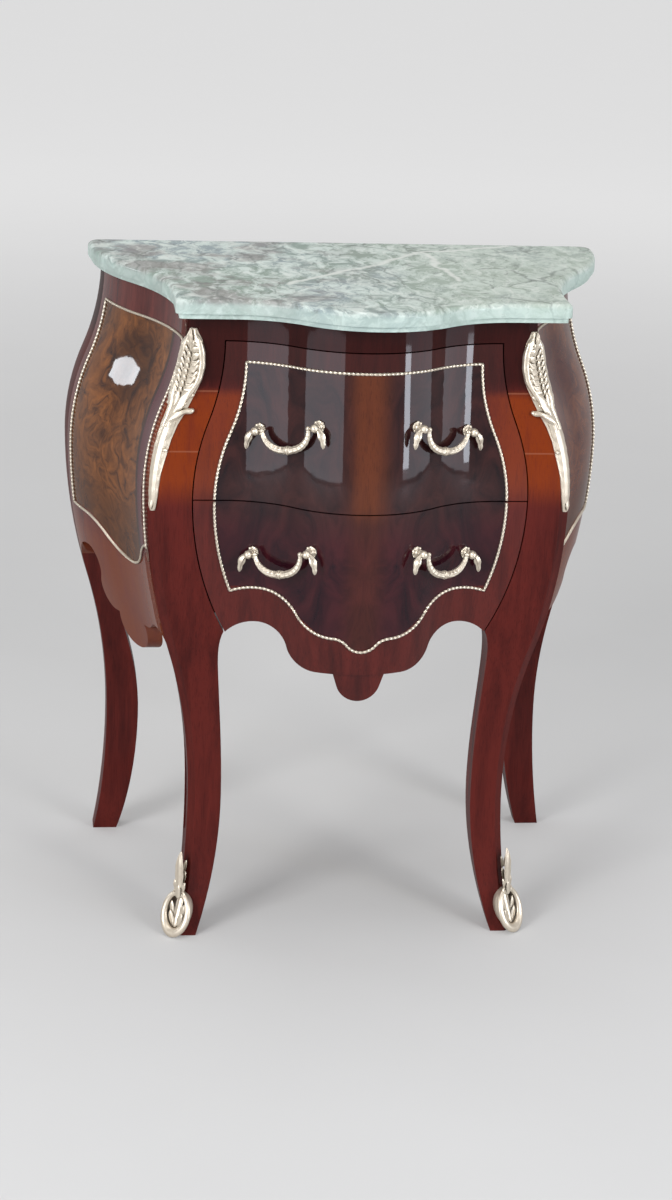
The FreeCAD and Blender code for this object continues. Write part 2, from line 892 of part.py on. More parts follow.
def pendant_outline():
    head = (d.pendant_half_width, d.apron_ledge)
    shoulder = (d.pendant_waist_half_width, d.pendant_shoulder)
    side = polyline(on_front(0, d.apron_ledge), on_front(*head), on_front(*shoulder))
    return ring(both(side + arcs([quarter(shoulder, (0, d.pendant_tip))], on_front)))


pendant_skin = front_layer(d.pendant_inset, d.pendant_inset + d.pendant_thickness)
pendant = solid_of("apron_pendant", pendant_skin.common(through_y(pendant_outline())))

# Gilt trim laid on the faces


def drawer_trim_line():
    top = (d.trim_top, d.trim_top_half_width)
    widest = (d.trim_belly, d.trim_belly_half_width)
    foot = (d.trim_foot, d.trim_foot_half_width)
    edges = polyline(on_front(0, d.trim_top), on_front(top[1], top[0]))
    edges += arcs(ogee(top, widest) + [sweep_out(widest, foot)], swapped(on_front))
    crest = (d.trim_crest_half_width, d.trim_crest)
    shoulder = (d.trim_shoulder_half_width, d.trim_shoulder)
    edges += arcs([sweep_out(crest, (foot[1], foot[0]))] + ogee(crest, shoulder), on_front)
    edges += arcs(ogee(shoulder, (0, d.trim_point)), on_front)
    return ring(both(edges))


def side_trim_line():
    front = -d.leg_back_depth + d.side_trim_front_margin
    back = back_leg_front - d.side_trim_back_margin
    bend = (d.side_trim_bend, d.side_trim_foot)
    point = (d.side_trim_point_depth, d.side_trim_point)
    frame = polyline(
        on_side(*bend),
        on_side(back, d.side_trim_foot),
        on_side(back, d.side_trim_top),
        on_side(front, d.side_trim_top),
        on_side(front, d.side_trim_front_foot),
    )
    foot = ogee(bend, point) + ogee((front, d.side_trim_front_foot), point)
    return ring(frame, arcs(foot, on_side))


def band_about(wire, cutter):
    """A cutter as wide as the trim along a closed outline."""
    outer = wire.makeOffset2D(d.trim_width / 2, 0)
    inner = wire.makeOffset2D(-d.trim_width / 2, 0)
    return cutter(outer).cut(cutter(inner))


trim_skin = front_layer(-d.trim_thickness, -d.trim_seat_gap)
trim_blank = solid_of("drawer_trim_blank", trim_skin.common(band_about(drawer_trim_line(), through_y)))
for name in ("upper", "lower"):
    reach = ("-(front_depth + front_belly + trim_thickness + overrun)", POST_REAR)
    band = box(name + "_trim_band", FULL_X, reach, drawer_bands[name])
    drawer_parts[name].append(common(name + "_drawer_trim", trim_blank, band))

side_trim_skin = side_layer(-d.trim_thickness, -d.trim_seat_gap)
side_trim = solid_of("side_trim_right", side_trim_skin.common(band_about(side_trim_line(), through_x)))

# Gilt mounts on the canted corners: plates that lie along the corner from top to bottom


def cant_at(level):
    """Half the depth that the cant takes off each face at a level."""
    out = swell_at(level, *SIDE) + swell_at(level, *FRONT)
    return (d.corner_cant + out - swell_at(level, *CANT) * DIAGONAL) / 2


def corner_at(level):
    """The middle of the canted corner on the right at a level."""
    edge_x = d.corner_half_width + swell_at(level, *SIDE)
    edge_y = -d.front_depth + d.bow_depth - swell_at(level, *FRONT)
    return Vector(edge_x - cant_at(level), edge_y + cant_at(level), level)


ALONG_CANT = Vector(1, 1, 0) / DIAGONAL
OFF_CANT = Vector(1, -1, 0) / DIAGONAL


def round_corner(level, aside, out):
    """A place off the corner of the leg, aside from the cant's middle as a tape would lie round it."""
    half = cant_at(level) * DIAGONAL
    rest = abs(aside) - half
    if rest <= 0:
        return corner_at(level) + ALONG_CANT * aside + OFF_CANT * out
    if aside < 0:
        return corner_at(level) - ALONG_CANT * half + Vector(-rest, -out, 0)
    return corner_at(level) + ALONG_CANT * half + Vector(out, rest, 0)


def mount_section(level, share):
    """The mount laid round the corner: thick on the cant and thin at its two edges."""
    half = cant_at(level) * DIAGONAL
    front = d.mount_front_reach * share
    side = d.mount_side_reach * share
    places = [(-front, -d.plate_sink), (-front, d.mount_edge), (-min(front / 2, half), d.mount_thickness)]
    places += [(min(side / 2, half), d.mount_thickness), (side, d.mount_edge), (side, -d.plate_sink)]
    corners = [round_corner(level, aside, out) for aside, out in places]
    return Part.makePolygon(corners + corners[:1])


mount_tall = d.mount_top - d.mount_foot
MOUNT_SHARES = [(0, 0.22), (0.06, 0.6), (0.14, 0.87), (0.2, 1), (0.28, 1), (0.37, 0.85), (0.45, 0.75)]
MOUNT_SHARES += [(0.52, 0.6), (0.6, 0.52), (0.8, 0.4), (0.93, 0.32), (1, 0.15)]
mount_sections = [mount_section(d.mount_top - mount_tall * down, share) for down, share in MOUNT_SHARES]
corner_mount = solid_of("corner_mount_right", Part.makeLoft(mount_sections, True, True).cut(front_leg.Shape))


def sabot_section(level, thickness):
    """A level slice of the block that the sabot is cut from, deep enough to reach both faces of the leg."""
    middle = corner_at(level) - OFF_CANT * d.sabot_sink
    across = ALONG_CANT * d.sabot_ring_half_width
    out = OFF_CANT * (thickness + d.sabot_sink)
    corners = [middle - across, middle + across, middle + across + out, middle - across + out]
    return Part.makePolygon(corners + corners[:1])


sabot_sections = []
SABOT_STEPS = 6
for step in range(SABOT_STEPS + 1):
    share = step / SABOT_STEPS
    level = d.sabot_rise + (d.sabot_tip - d.sabot_rise) * share
    sabot_sections.append(sabot_section(level, d.sabot_thickness + (d.sabot_tip_thickness - d.sabot_thickness) * share))
sabot_blank = Part.makeLoft(sabot_sections, True, True).cut(front_leg.Shape)


def on_corner(level, aside):
    """A place on an upright plane well behind the canted corner, aside from the corner's middle."""
    return ALONG_CANT * (corner_at(level).dot(ALONG_CANT) + aside) + Vector(0, 0, level)


def ellipse_cutter(half_width, half_tall, level):
    """An upright oval cutter square to the canted corner."""
    middle = on_corner(level, 0)
    oval = Part.Ellipse(middle + Vector(0, 0, half_tall), middle + ALONG_CANT * half_width, middle)
    return Part.Face(Part.Wire(oval.toShape())).extrude(OFF_CANT * WIDE * 2)


def leaf_cutter(foot, tip, half_width):
    """An upright pointed cutter square to the canted corner."""
    widest = foot + (tip - foot) * d.sabot_widest_share
    edges = []
    for sign in (-1, 1):
        places = [on_corner(foot, 0), on_corner(widest, sign * half_width), on_corner(tip, 0)]
        edges.append(Part.Arc(*places).toShape())
    return Part.Face(ring(edges)).extrude(OFF_CANT * WIDE * 2)


ring_half_tall = d.sabot_ring_tall / 2
ring_level = d.sabot_rise + ring_half_tall
ring_outside = ellipse_cutter(d.sabot_ring_half_width, ring_half_tall, ring_level)
ring_inside = ellipse_cutter(d.sabot_ring_half_width - d.sabot_bar, ring_half_tall - d.sabot_bar, ring_level)
leaf = leaf_cutter(ring_level, d.sabot_tip, d.sabot_leaf_half_width)
sabot_ring = sabot_blank.common(ring_outside).cut(ring_inside)
sabot_shape = sabot_ring.fuse(sabot_blank.common(leaf)).removeSplitter()
foot_sabot = solid_of("foot_sabot_right", sabot_shape)

# The slab, loose on the case


def slab_outline(inset, level):
    """The slab in plan, a step in from its edge all round by inset."""
    front = -d.front_depth - d.slab_front_overhang + inset
    back = d.back_depth + d.slab_back_overhang - inset
    out = d.slab_side_overhang - inset
    half = d.corner_half_width + out
    curve = front_curve(front, half, level)
    side = side_curve(0, front + d.bow_depth, back, level, out)
    left = [flipped(edge) for edge in side]
    back_line = line(side[-1].Vertexes[-1].Point, left[-1].Vertexes[-1].Point)
    return ring(curve, side, left, [back_line])


def rounded_upright(shape, place, radius):
    """Round the upright edges whose middle passes the test."""
    edges = [edge for edge in shape.Edges if upright(edge) and place(edge.CenterOfMass)]
    return shape.makeFillet(radius, edges)


def upright(edge):
    ends = [vertex.Point for vertex in edge.Vertexes]
    if len(ends) < 2:
        return False
    run = ends[1] - ends[0]
    return math.hypot(run.x, run.y) < abs(run.z) / d.overrun


def slab_layer(inset, foot, top):
    outline = slab_outline(inset, foot)
    block = Part.Face(outline).extrude(Vector(0, 0, top - foot))
    block = rounded_upright(block, lambda middle: middle.y < 0, d.slab_front_round - inset)
    return rounded_upright(block, lambda middle: middle.y > d.back_depth - d.slab_rear_round, d.slab_rear_round - inset)


def top_rounded(block, top, radius):
    """Round the slab's upper edge."""
    edges = [edge for edge in block.Edges if all(top - vertex.Z < radius / 2 for vertex in edge.Vertexes)]
    return block.makeFillet(radius, edges)


slab_top = d.case_tall + d.slab_thickness
slab_step = d.case_tall + d.slab_foot_depth
slab_head = top_rounded(slab_layer(0, slab_step, slab_top), slab_top, d.slab_edge_round)
slab_foot = slab_layer(d.slab_foot_inset, d.case_tall, slab_step)
slab = solid_of("marble_top", slab_head.fuse(slab_foot))
slab.setExpression("Placement.Base.x", bound("slab_shift"))

# Handles: each has two turned posts bolted through the drawer front and a bail that swings between them


def pattern(label, radius, low, high):
    """A round bar along its own Z axis, between two planes written as expressions."""
    bar = doc.addObject("Part::Cylinder", label)
    bar.setExpression("Radius", bound(radius))
    bar.setExpression("Height", bound("(%s) - (%s)" % (high, low)))
    bar.setExpression("Placement.Base.z", bound(low))
    return bar


ball = doc.addObject("Part::Sphere", "post_ball")
ball.setExpression("Radius", bound("handle_ball_radius"))
ball.setExpression("Placement.Base.z", bound("handle_standoff"))
rose = pattern("post_rose", "handle_rose_radius", "-plate_sink * 2", "handle_rose_thickness")
neck = pattern("post_neck", "handle_neck_radius", "0", "handle_standoff")
post_head = fused("post_head", [rose, neck, ball])
nut_blank = doc.addObject("Part::Prism", "nut_blank")
nut_blank.Polygon = 6
nut_blank.setExpression("Circumradius", bound("nut_radius"))
nut_blank.setExpression("Height", bound("front_thickness"))
doc.recompute()


def axes_to(origin, along, out):
    """A placement that turns Z to out and X to along."""
    side = out.cross(along)
    matrix = FreeCAD.Matrix(
        along.x, side.x, out.x, origin.x,
        along.y, side.y, out.y, origin.y,
        along.z, side.z, out.z, origin.z,
        0, 0, 0, 1,
    )
    return FreeCAD.Placement(matrix)


def placed(shape, placement):
    twin = shape.copy()
    twin.Placement = placement.multiply(twin.Placement)
    return twin


def behind_at(point, out):
    """How far a stud runs from the face of a drawer front to its back."""
    near = 0
    far = 2 * d.front_thickness
    while far - near > d.pin_gap / 10:
        middle = (near + far) / 2
        place = point - out * middle
        if place.y < front_at(place.x, place.z) + d.front_thickness:
            near = middle
        else:
            far = middle
    return near


def handle(name):
    """The frame of one right-hand handle, from the places of its two posts."""
    spans = [getattr(d, "%s_%s_half_span" % (name, end)) for end in ("inner", "outer")]
    levels = [getattr(d, "%s_%s_level" % (name, end)) for end in ("inner", "outer")]
    feet = [Vector(span, front_at(span, level), level) for span, level in zip(spans, levels)]
    across = (feet[1] - feet[0]).normalize()
    out = Vector(across.y, -across.x, 0).normalize()
    return feet, across, out


def tapered_bar(stations, aside):
    """A round bar of short straight lengths through (centre, heading, radius) stations."""
    sections = []
    for centre, heading, radius in stations:
        rim = Part.makeCircle(radius)
        rim.Placement = axes_to(centre, aside, heading.normalize())
        sections.append(Part.Wire(rim))
    return Part.makeLoft(sections, True, True)


def leaf_arm(eye, away, out):
    """The leaf that droops from a post, away from the bail, and ends in a bud."""
    down = Vector(0, 0, -1)
    level = Vector(away.x, away.y, 0).normalize()
    widths = [d.leaf_stem_radius, d.leaf_stem_radius, d.leaf_bud_radius, d.leaf_bud_radius, d.leaf_tip_radius]
    stations = []
    for step, radius in enumerate(widths):
        turn = math.pi / 2 * step / (len(widths) - 1)
        centre = eye + level * (d.leaf_reach * math.sin(turn)) + down * (d.leaf_drop * (1 - math.cos(turn)))
        heading = level * (d.leaf_reach * math.cos(turn)) + down * (d.leaf_drop * math.sin(turn))
        stations.append((centre, heading, radius))
    return tapered_bar(stations, out)


def post_and_nut(foot, across, out, away, face):
    """A post seated on the drawer front at foot, with the hole and nut of its stud."""
    frame = axes_to(foot, across, out)
    head = placed(post_head.Shape, frame).cut(face)
    eye = foot + out * d.handle_standoff
    bore = Part.makeCylinder(d.pin_radius + d.pin_gap, 2 * d.handle_ball_radius, eye, away * -1)
    depth = behind_at(foot, out)
    stud = Part.makeCylinder(d.handle_stud_radius, depth + d.stud_tail, foot, out * -1)
    post = head.fuse(leaf_arm(eye, away, out)).fuse(stud).cut(bore).removeSplitter()
    hole = Part.makeCylinder(d.handle_stud_radius + d.stud_hole_gap, 3 * d.front_thickness, foot + out, out * -1)
    nut = placed(nut_blank.Shape, axes_to(foot - out * (depth + d.nut_thickness), across, out))
    nut = nut.cut(face).cut(stud)
    return post, hole, nut


def bail(feet, across, out):
    """A hanging bail: a tapering bar along a bow, with a knob and a pin at each end."""
    middle = (feet[0] + feet[1]) / 2 + out * d.handle_standoff
    down = out.cross(across).normalize()
    if down.z > 0:
        down = down * -1
    half = (feet[1] - feet[0]).Length / 2
    eye = half - d.handle_ball_radius - d.bail_side_gap - d.bail_knob_radius
    stations = []
    for step in range(BAIL_STEPS + 1):
        share = 1 - 2 * step / BAIL_STEPS
        centre = middle + across * (eye * share) + down * (d.bail_drop * (1 - share ** 2))
        heading = across * -eye + down * (2 * d.bail_drop * share)
        radius = d.bail_end_radius + (d.bail_middle_radius - d.bail_end_radius) * (1 - share ** 2)
        stations.append((centre, heading, radius))
    bar = tapered_bar(stations, out)
    for sign in (-1, 1):
        end = middle + across * sign * eye
        pin_length = d.bail_knob_radius + d.bail_side_gap + d.pin_length
        bar = bar.fuse(Part.makeSphere(d.bail_knob_radius, end))
        bar = bar.fuse(Part.makeCylinder(d.pin_radius, pin_length, end, across * sign))
    return bar.removeSplitter(), middle


BAIL_STEPS = 16
bails = []
for name in ("upper", "lower"):
    feet, across, out = handle(name)
    face = drawer_fronts[name].Shape
    posts = []
    holes = []
    nuts = []
    for foot, away in zip(feet, (across * -1, across)):
        post, hole, nut = post_and_nut(foot, across, out, away, face)
        posts.append(post)
        holes.append(hole)
        nuts.append(nut)
    all_posts = Part.makeCompound(posts + [flipped(post) for post in posts])
    drawer_parts[name].append(solid_of(name + "_handle_posts", all_posts))
    all_nuts = Part.makeCompound(nuts + [flipped(nut) for nut in nuts])
    drawer_parts[name].append(solid_of(name + "_handle_nuts", all_nuts))
    all_holes = solid_of(name + "_stud_holes", Part.makeCompound(holes + [flipped(hole) for hole in holes]))
    drawer_parts[name].append(cut(name + "_drawer_front", drawer_fronts[name], all_holes))
    shape, middle = bail(feet, across, out)
    right_bail = solid_of(name + "_bail_right", shape)
    bails += [right_bail, mirrored(name + "_bail_left", right_bail)]
    print(name, "bail axis through", [round(v, 3) for v in middle], "along", [round(v, 6) for v in across])

# What is written out

PARTS = [
    slab,
    front_leg,
    mirrored("front_leg_left", front_leg),
    back_leg,
    mirrored("back_leg_left", back_leg),
    side_panel,
    mirrored("side_panel_left", side_panel),
    side_trim,
    mirrored("side_trim_left", side_trim),
    corner_mount,
    mirrored("corner_mount_left", corner_mount),
    foot_sabot,
    mirrored("foot_sabot_left", foot_sabot),
    frieze_rail,
    divider_rail,
    bottom_front_rail,
    top_board,
    bottom_board,
    back_panel,
    back_top_rail,
    back_middle_rail,
    back_bottom_rail,
    upper_runner,
    mirrored("upper_runner_left", upper_runner),
    lower_runner,
    mirrored("lower_runner_left", lower_runner),
    kicker,
    mirrored("kicker_left", kicker),
    drawer_stops,
    pendant,
]
PARTS += drawer_parts["upper"] + drawer_parts["lower"] + bails

doc.recompute()
for item in doc.Objects:
    if "Invalid" in item.State or "Error" in item.State:
        raise RuntimeError("%s did not compute" % item.Label)
for item in PARTS:
    if item.Shape.isNull() or not item.Shape.isValid() or not item.Shape.Solids:
        raise RuntimeError("%s has no valid solid" % item.Label)

os.makedirs("parts", exist_ok=True)
for item in PARTS:
    item.Shape.exportStep("parts/%s.step" % item.Label)
print(len(PARTS), "parts written")
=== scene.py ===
import math

import bpy
from mathutils import Matrix, Vector


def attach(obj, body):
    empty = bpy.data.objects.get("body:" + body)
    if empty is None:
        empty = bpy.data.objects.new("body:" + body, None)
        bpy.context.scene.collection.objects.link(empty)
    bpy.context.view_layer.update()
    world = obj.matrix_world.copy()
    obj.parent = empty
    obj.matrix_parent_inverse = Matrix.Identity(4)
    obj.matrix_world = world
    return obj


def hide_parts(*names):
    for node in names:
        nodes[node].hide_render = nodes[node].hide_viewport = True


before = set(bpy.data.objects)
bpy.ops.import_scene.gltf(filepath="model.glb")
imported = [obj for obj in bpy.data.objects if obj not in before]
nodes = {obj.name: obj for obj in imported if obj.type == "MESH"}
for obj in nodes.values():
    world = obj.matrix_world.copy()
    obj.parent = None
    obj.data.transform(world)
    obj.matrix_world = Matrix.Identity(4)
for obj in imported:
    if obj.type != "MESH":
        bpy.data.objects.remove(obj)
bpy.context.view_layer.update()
mm = 0.001
print("frame loaded:", len(nodes), "nodes")


# small helpers round the operators

def deselectAll():
    if bpy.context.object and bpy.context.object.mode != "OBJECT":
        bpy.ops.object.mode_set(mode="OBJECT")
    bpy.ops.object.select_all(action="DESELECT")


def makeActive(piece):
    deselectAll()
    piece.select_set(True)
    bpy.context.view_layer.objects.active = piece


def settle(piece):  # its place goes into the mesh, so the object sits at the origin
    makeActive(piece)
    bpy.ops.object.transform_apply(location=True, rotation=True, scale=True)


def added(operator, **settings):  # a new primitive, with nothing else selected
    deselectAll()
    operator(**settings)
    return bpy.context.object


def ball(place, radius, segments, rings, scale=(1, 1, 1), rotation=(0, 0, 0)):  # radius in mm
    return added(
        bpy.ops.mesh.primitive_uv_sphere_add, segments=segments, ring_count=rings, radius=radius * mm,
        location=place, scale=scale, rotation=rotation)


def hoop(place, major, minor, segments, rotation):  # radii in mm
    return added(
        bpy.ops.mesh.primitive_torus_add, major_segments=segments, minor_segments=8,
        major_radius=major * mm, minor_radius=minor * mm, location=place, rotation=rotation)


def applyAll(piece):
    makeActive(piece)
    for modifier in list(piece.modifiers):
        bpy.ops.object.modifier_apply(modifier=modifier.name)


def faceOut(piece, merge=0.00001):
    makeActive(piece)
    bpy.ops.object.mode_set(mode="EDIT")
    bpy.ops.mesh.select_all(action="SELECT")
    bpy.ops.mesh.remove_doubles(threshold=merge)
    bpy.ops.mesh.normals_make_consistent(inside=False)
    bpy.ops.object.mode_set(mode="OBJECT")


def smoothShade(piece, degrees):
    makeActive(piece)
    bpy.ops.object.shade_smooth_by_angle(angle=math.radians(degrees))


def joinPieces(pieces, name):
    deselectAll()
    for piece in pieces:
        piece.select_set(True)
    bpy.context.view_layer.objects.active = pieces[0]
    if len(pieces) > 1:
        bpy.ops.object.join()
    whole = bpy.context.view_layer.objects.active
    whole.name = name
    whole.data.name = name
    settle(whole)
    return whole


def copyOf(piece, location=(0, 0, 0), rotation=(0, 0, 0), scale=(1, 1, 1)):
    twin = piece.copy()
    twin.data = piece.data.copy()
    bpy.context.collection.objects.link(twin)
    twin.location = location
    twin.rotation_euler = rotation
    twin.scale = scale
    settle(twin)
    return twin


def mirrorOf(piece, name, degrees=None):
    twin = copyOf(piece, scale=(-1, 1, 1))
    twin.name = name
    twin.data.name = name
    faceOut(twin)
    if degrees:
        smoothShade(twin, degrees)
    return twin


def pickPoints(piece, test):  # selects the points of a piece by their place and stays in edit mode
    makeActive(piece)
    for part in (*piece.data.polygons, *piece.data.edges):
        part.select = False
    for vertex in piece.data.vertices:
        vertex.select = test(vertex.co)
    bpy.ops.object.mode_set(mode="EDIT")
    bpy.ops.mesh.select_mode(type="VERT")


def polyLine(name, points, closed, dimensions="3D"):
    line = bpy.data.curves.new(name, "CURVE")
    line.dimensions = dimensions
    spline = line.splines.new("POLY")
    spline.points.add(len(points) - 1)
    for point, place in zip(spline.points, points):
        point.co = (*place, 1)
    spline.use_cyclic_u = closed
    holder = bpy.data.objects.new(name, line)
    bpy.context.collection.objects.link(holder)
    return holder


def curvePiece(name, points, radii=None, closed=False, tilts=None, section=None, depth=0.0):
    # a line through points that a round bar or a section follows, made a mesh
    piece = polyLine(name, points, closed)
    line = piece.data
    line.twist_mode = "MINIMUM"
    line.use_fill_caps = not closed
    if section is None:
        line.bevel_depth = depth
        line.bevel_resolution = 3
    else:
        line.bevel_mode = "OBJECT"
        line.bevel_object = section
    for step, point in enumerate(line.splines[0].points):
        point.radius = radii[step] if radii else 1
        point.tilt = tilts[step] if tilts else 0
    makeActive(piece)
    bpy.ops.object.convert(target="MESH")
    piece = bpy.context.object
    piece.name = name
    faceOut(piece)
    return piece


def lobedSection(name, radius, lobes, depth, points=4):
    # a closed outline with rounded lobes, for bars that look chased or twisted
    outline = []
    for step in range(lobes * points):
        turn = 2 * math.pi * step / (lobes * points)
        reach = radius * (1 + depth * math.cos(lobes * turn))
        outline.append((reach * math.cos(turn), reach * math.sin(turn), 0))
    return polyLine(name, outline, True, "2D")


def turnedPiece(name, profile, steps):
    # a profile of (radius, height) pairs turned round the Z axis
    piece = curvePiece(name, [(radius * mm, 0, height * mm) for radius, height in profile])
    screw = piece.modifiers.new("Turn", "SCREW")
    screw.steps = steps
    screw.render_steps = steps
    screw.use_merge_vertices = True
    screw.merge_threshold = 0.00001
    applyAll(piece)
    faceOut(piece)
    return piece


# the swelling faces of the chest, in mm

shape = {
    "frontDepth": 190, "bowDepth": 60, "bowHalfSpan": 158,
    "cornerHalfWidth": 198, "backHalfWidth": 291, "sideBendDepth": 116, "backDepth": 212,
    "caseTall": 758, "bellyLevel": 541, "ankleLevel": 174,
    "frontSwell": (18, 18, 8), "sideSwell": (45, 8, 8), "cornerCant": 12, "ankleCant": 8,
}
diagonal = math.sqrt(2)
cantSwell = (
    (shape["sideSwell"][0] + shape["frontSwell"][0]) / diagonal,
    (shape["sideSwell"][1] + shape["frontSwell"][1] - shape["cornerCant"] + shape["ankleCant"]) / diagonal,
    (shape["sideSwell"][2] + shape["frontSwell"][2] + shape["cornerCant"] - shape["ankleCant"]) / diagonal,
)


def ogeeHeight(along, start, end):
    # two equal arcs that leave start and reach end level
    run = abs(end[0] - start[0])
    rise = end[1] - start[1]
    radius = (run ** 2 + rise ** 2) / (4 * abs(rise))
    share = min(max(abs(along - start[0]), 0), run)
    if share < run / 2:
        return start[1] + math.copysign(radius - math.sqrt(radius ** 2 - share ** 2), rise)
    return end[1] - math.copysign(radius - math.sqrt(radius ** 2 - (run - share) ** 2), rise)


def arcHeight(along, start, end):
    # one arc that leaves start level and ends at end
    run = end[0] - start[0]
    rise = end[1] - start[1]
    radius = (run ** 2 + rise ** 2) / (2 * abs(rise))
    return start[1] + math.copysign(radius - math.sqrt(radius ** 2 - (along - start[0]) ** 2), rise)


def swellAt(level, swell):
    belly, ankle, toe = swell
    waist = (shape["ankleLevel"], -ankle)
    if level >= shape["bellyLevel"]:
        return ogeeHeight(level, (shape["caseTall"], 0), (shape["bellyLevel"], belly))
    if level >= shape["ankleLevel"]:
        return ogeeHeight(level, (shape["bellyLevel"], belly), waist)
    return arcHeight(level, waist, (0, toe))


def frontAt(x, level):
    bow = ogeeHeight(min(abs(x), shape["bowHalfSpan"]), (0, 0), (shape["bowHalfSpan"], shape["bowDepth"]))
    return -shape["frontDepth"] + bow - swellAt(level, shape["frontSwell"])


def sideAt(y, level):
    start = (-shape["sideBendDepth"], shape["cornerHalfWidth"])
    end = (shape["backDepth"], shape["backHalfWidth"])
    return ogeeHeight(min(max(y, start[0]), end[0]), start, end) + swellAt(level, shape["sideSwell"])


def cantAt(level):
    out = swellAt(level, shape["sideSwell"]) + swellAt(level, shape["frontSwell"])
    return (shape["cornerCant"] + out - swellAt(level, cantSwell) * diagonal) / 2


def cornerAt(level):  # the middle of the canted corner on the right
    edgeX = shape["cornerHalfWidth"] + swellAt(level, shape["sideSwell"])
    edgeY = -shape["frontDepth"] + shape["bowDepth"] - swellAt(level, shape["frontSwell"])
    return Vector((edgeX - cantAt(level), edgeY + cantAt(level), level))


alongCant = Vector((1, 1, 0)) / diagonal
offCant = Vector((1, -1, 0)) / diagonal


def acrossCorner(aside, level, out):  # straight across the corner, all in mm
    return cornerAt(level) + alongCant * aside + offCant * out


def roundCorner(aside, level, out):  # as a tape would lie round the corner
    half = cantAt(level) * diagonal
    rest = abs(aside) - half
    if rest <= 0:
        return acrossCorner(aside, level, out)
    if aside < 0:
        return acrossCorner(-half, level, 0) + Vector((-rest, -out, 0))
    return acrossCorner(half, level, 0) + Vector((out, rest, 0))


def layOn(piece, place):
    # ornament is modelled flat, facing -Y, and each of its points is then laid on the swelling corner
    for vertex in piece.data.vertices:
        x, y, z = vertex.co / mm
        vertex.co = place(x, z, -y) * mm
    piece.data.update()


def finishPiece(pieces, name, degrees, place=None):
    whole = joinPieces(pieces, name)
    if place:
        layOn(whole, place)
    faceOut(whole, 0.000001)
    smoothShade(whole, degrees)
    return whole


# the twisted gilt lines on the drawers and sides

rope = {
    "radius": 1.5, "strands": 3, "strandDepth": 0.16, "pitch": 5.0, "rise": 1.0, "step": 1.5,
    "top": (134, 706), "belly": (168, 545), "foot": (148, 439), "crest": (115, 445),
    "shoulder": (33, 397), "point": 381, "split": 548, "splitGap": 1.2,
    "sideTop": 720, "sideFoot": 464, "sideFrontFoot": 472, "sidePoint": (0, 430),
    "sideBend": 100, "sideFront": -84, "sideBack": 140, "smooth": 60,
}


def evenSteps(start, end, step):
    count = max(1, round(abs(end - start) / step))
    return [start + (end - start) * share / count for share in range(count + 1)]


def onward(start, end):
    return evenSteps(start, end, rope["step"])[1:]


def drawerHalfLine():
    # the right half of the line round both drawers, from the middle of its top to its point, as (x, z)
    (topX, topZ), (bellyX, bellyZ), (footX, footZ) = rope["top"], rope["belly"], rope["foot"]
    crest, shoulder, point = rope["crest"], rope["shoulder"], (0, rope["point"])
    line = [(0, topZ)] + [(x, topZ) for x in onward(0, topX)]
    line += [(ogeeHeight(z, (topZ, topX), (bellyZ, bellyX)), z) for z in onward(topZ, bellyZ)]
    line += [(arcHeight(z, (bellyZ, bellyX), (footZ, footX)), z) for z in onward(bellyZ, footZ)]
    line += [(x, arcHeight(x, crest, (footX, footZ))) for x in onward(footX, crest[0])]
    line += [(x, ogeeHeight(x, crest, shoulder)) for x in onward(crest[0], shoulder[0])]
    line += [(x, ogeeHeight(x, shoulder, point)) for x in onward(shoulder[0], 0)]
    return line


def sideLine():
    # the closed line on the right side, as (y, z)
    front, back, bend, point = rope["sideFront"], rope["sideBack"], rope["sideBend"], rope["sidePoint"]
    foot, frontFoot, top = rope["sideFoot"], rope["sideFrontFoot"], rope["sideTop"]
    line = [(bend, foot)] + [(y, foot) for y in onward(bend, back)]
    line += [(back, z) for z in onward(foot, top)]
    line += [(y, top) for y in onward(back, front)]
    line += [(front, z) for z in onward(top, frontFoot)]
    line += [(y, ogeeHeight(y, (front, frontFoot), point)) for y in onward(front, point[0])]
    line += [(y, ogeeHeight(y, point, (bend, foot))) for y in onward(point[0], bend)[:-1]]
    return line


def onFront(x, z):
    return Vector((x, frontAt(x, z) - rope["rise"], z)) * mm


def onSide(y, z):
    return Vector((sideAt(y, z) + rope["rise"], y, z)) * mm


ropeSection = lobedSection("ropeSection", rope["radius"] * mm, rope["strands"], rope["strandDepth"])


def twisted(name, points, closed=False):
    lead = rope["pitch"] * rope["strands"] * mm  # along the line for a whole turn
    lengths = [0]
    for before, place in zip(points, points[1:]):
        lengths.append(lengths[-1] + (place - before).length)
    if closed:  # a whole number of turns, so the seam doesn't show
        around = lengths[-1] + (points[0] - points[-1]).length
        lead = around / round(around / lead)
    tilts = [2 * math.pi * length / lead for length in lengths]
    piece = curvePiece(name, points, closed=closed, tilts=tilts, section=ropeSection)
    smoothShade(piece, rope["smooth"])
    return piece


halfLine = drawerHalfLine()
upperHalf = [(x, z) for x, z in halfLine if z > rope["split"] + rope["splitGap"]]
lowerHalf = [(x, z) for x, z in halfLine if z < rope["split"] - rope["splitGap"]]
upperLine = [(-x, z) for x, z in reversed(upperHalf[1:])] + upperHalf
lowerLine = lowerHalf + [(-x, z) for x, z in reversed(lowerHalf[:-1])]
upperRope = twisted("upperTwistedTrim", [onFront(x, z) for x, z in upperLine])
lowerRope = twisted("lowerTwistedTrim", [onFront(x, z) for x, z in lowerLine])
sideRopeRight = twisted("sideTwistedTrimRight", [onSide(y, z) for y, z in sideLine()], closed=True)
gildedPieces = []


def gild(piece, body, *replaced):
    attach(piece, body)
    if replaced:
        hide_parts(*replaced)
    gildedPieces.append(piece)


def gildBoth(right, leftName, degrees, body, *replaced):  # the piece on the right and its mirror image
    left = mirrorOf(right, leftName, degrees)
    gild(right, body, *replaced)
    gild(left, body.replace("right", "left"), *(node.replace("right", "left") for node in replaced))


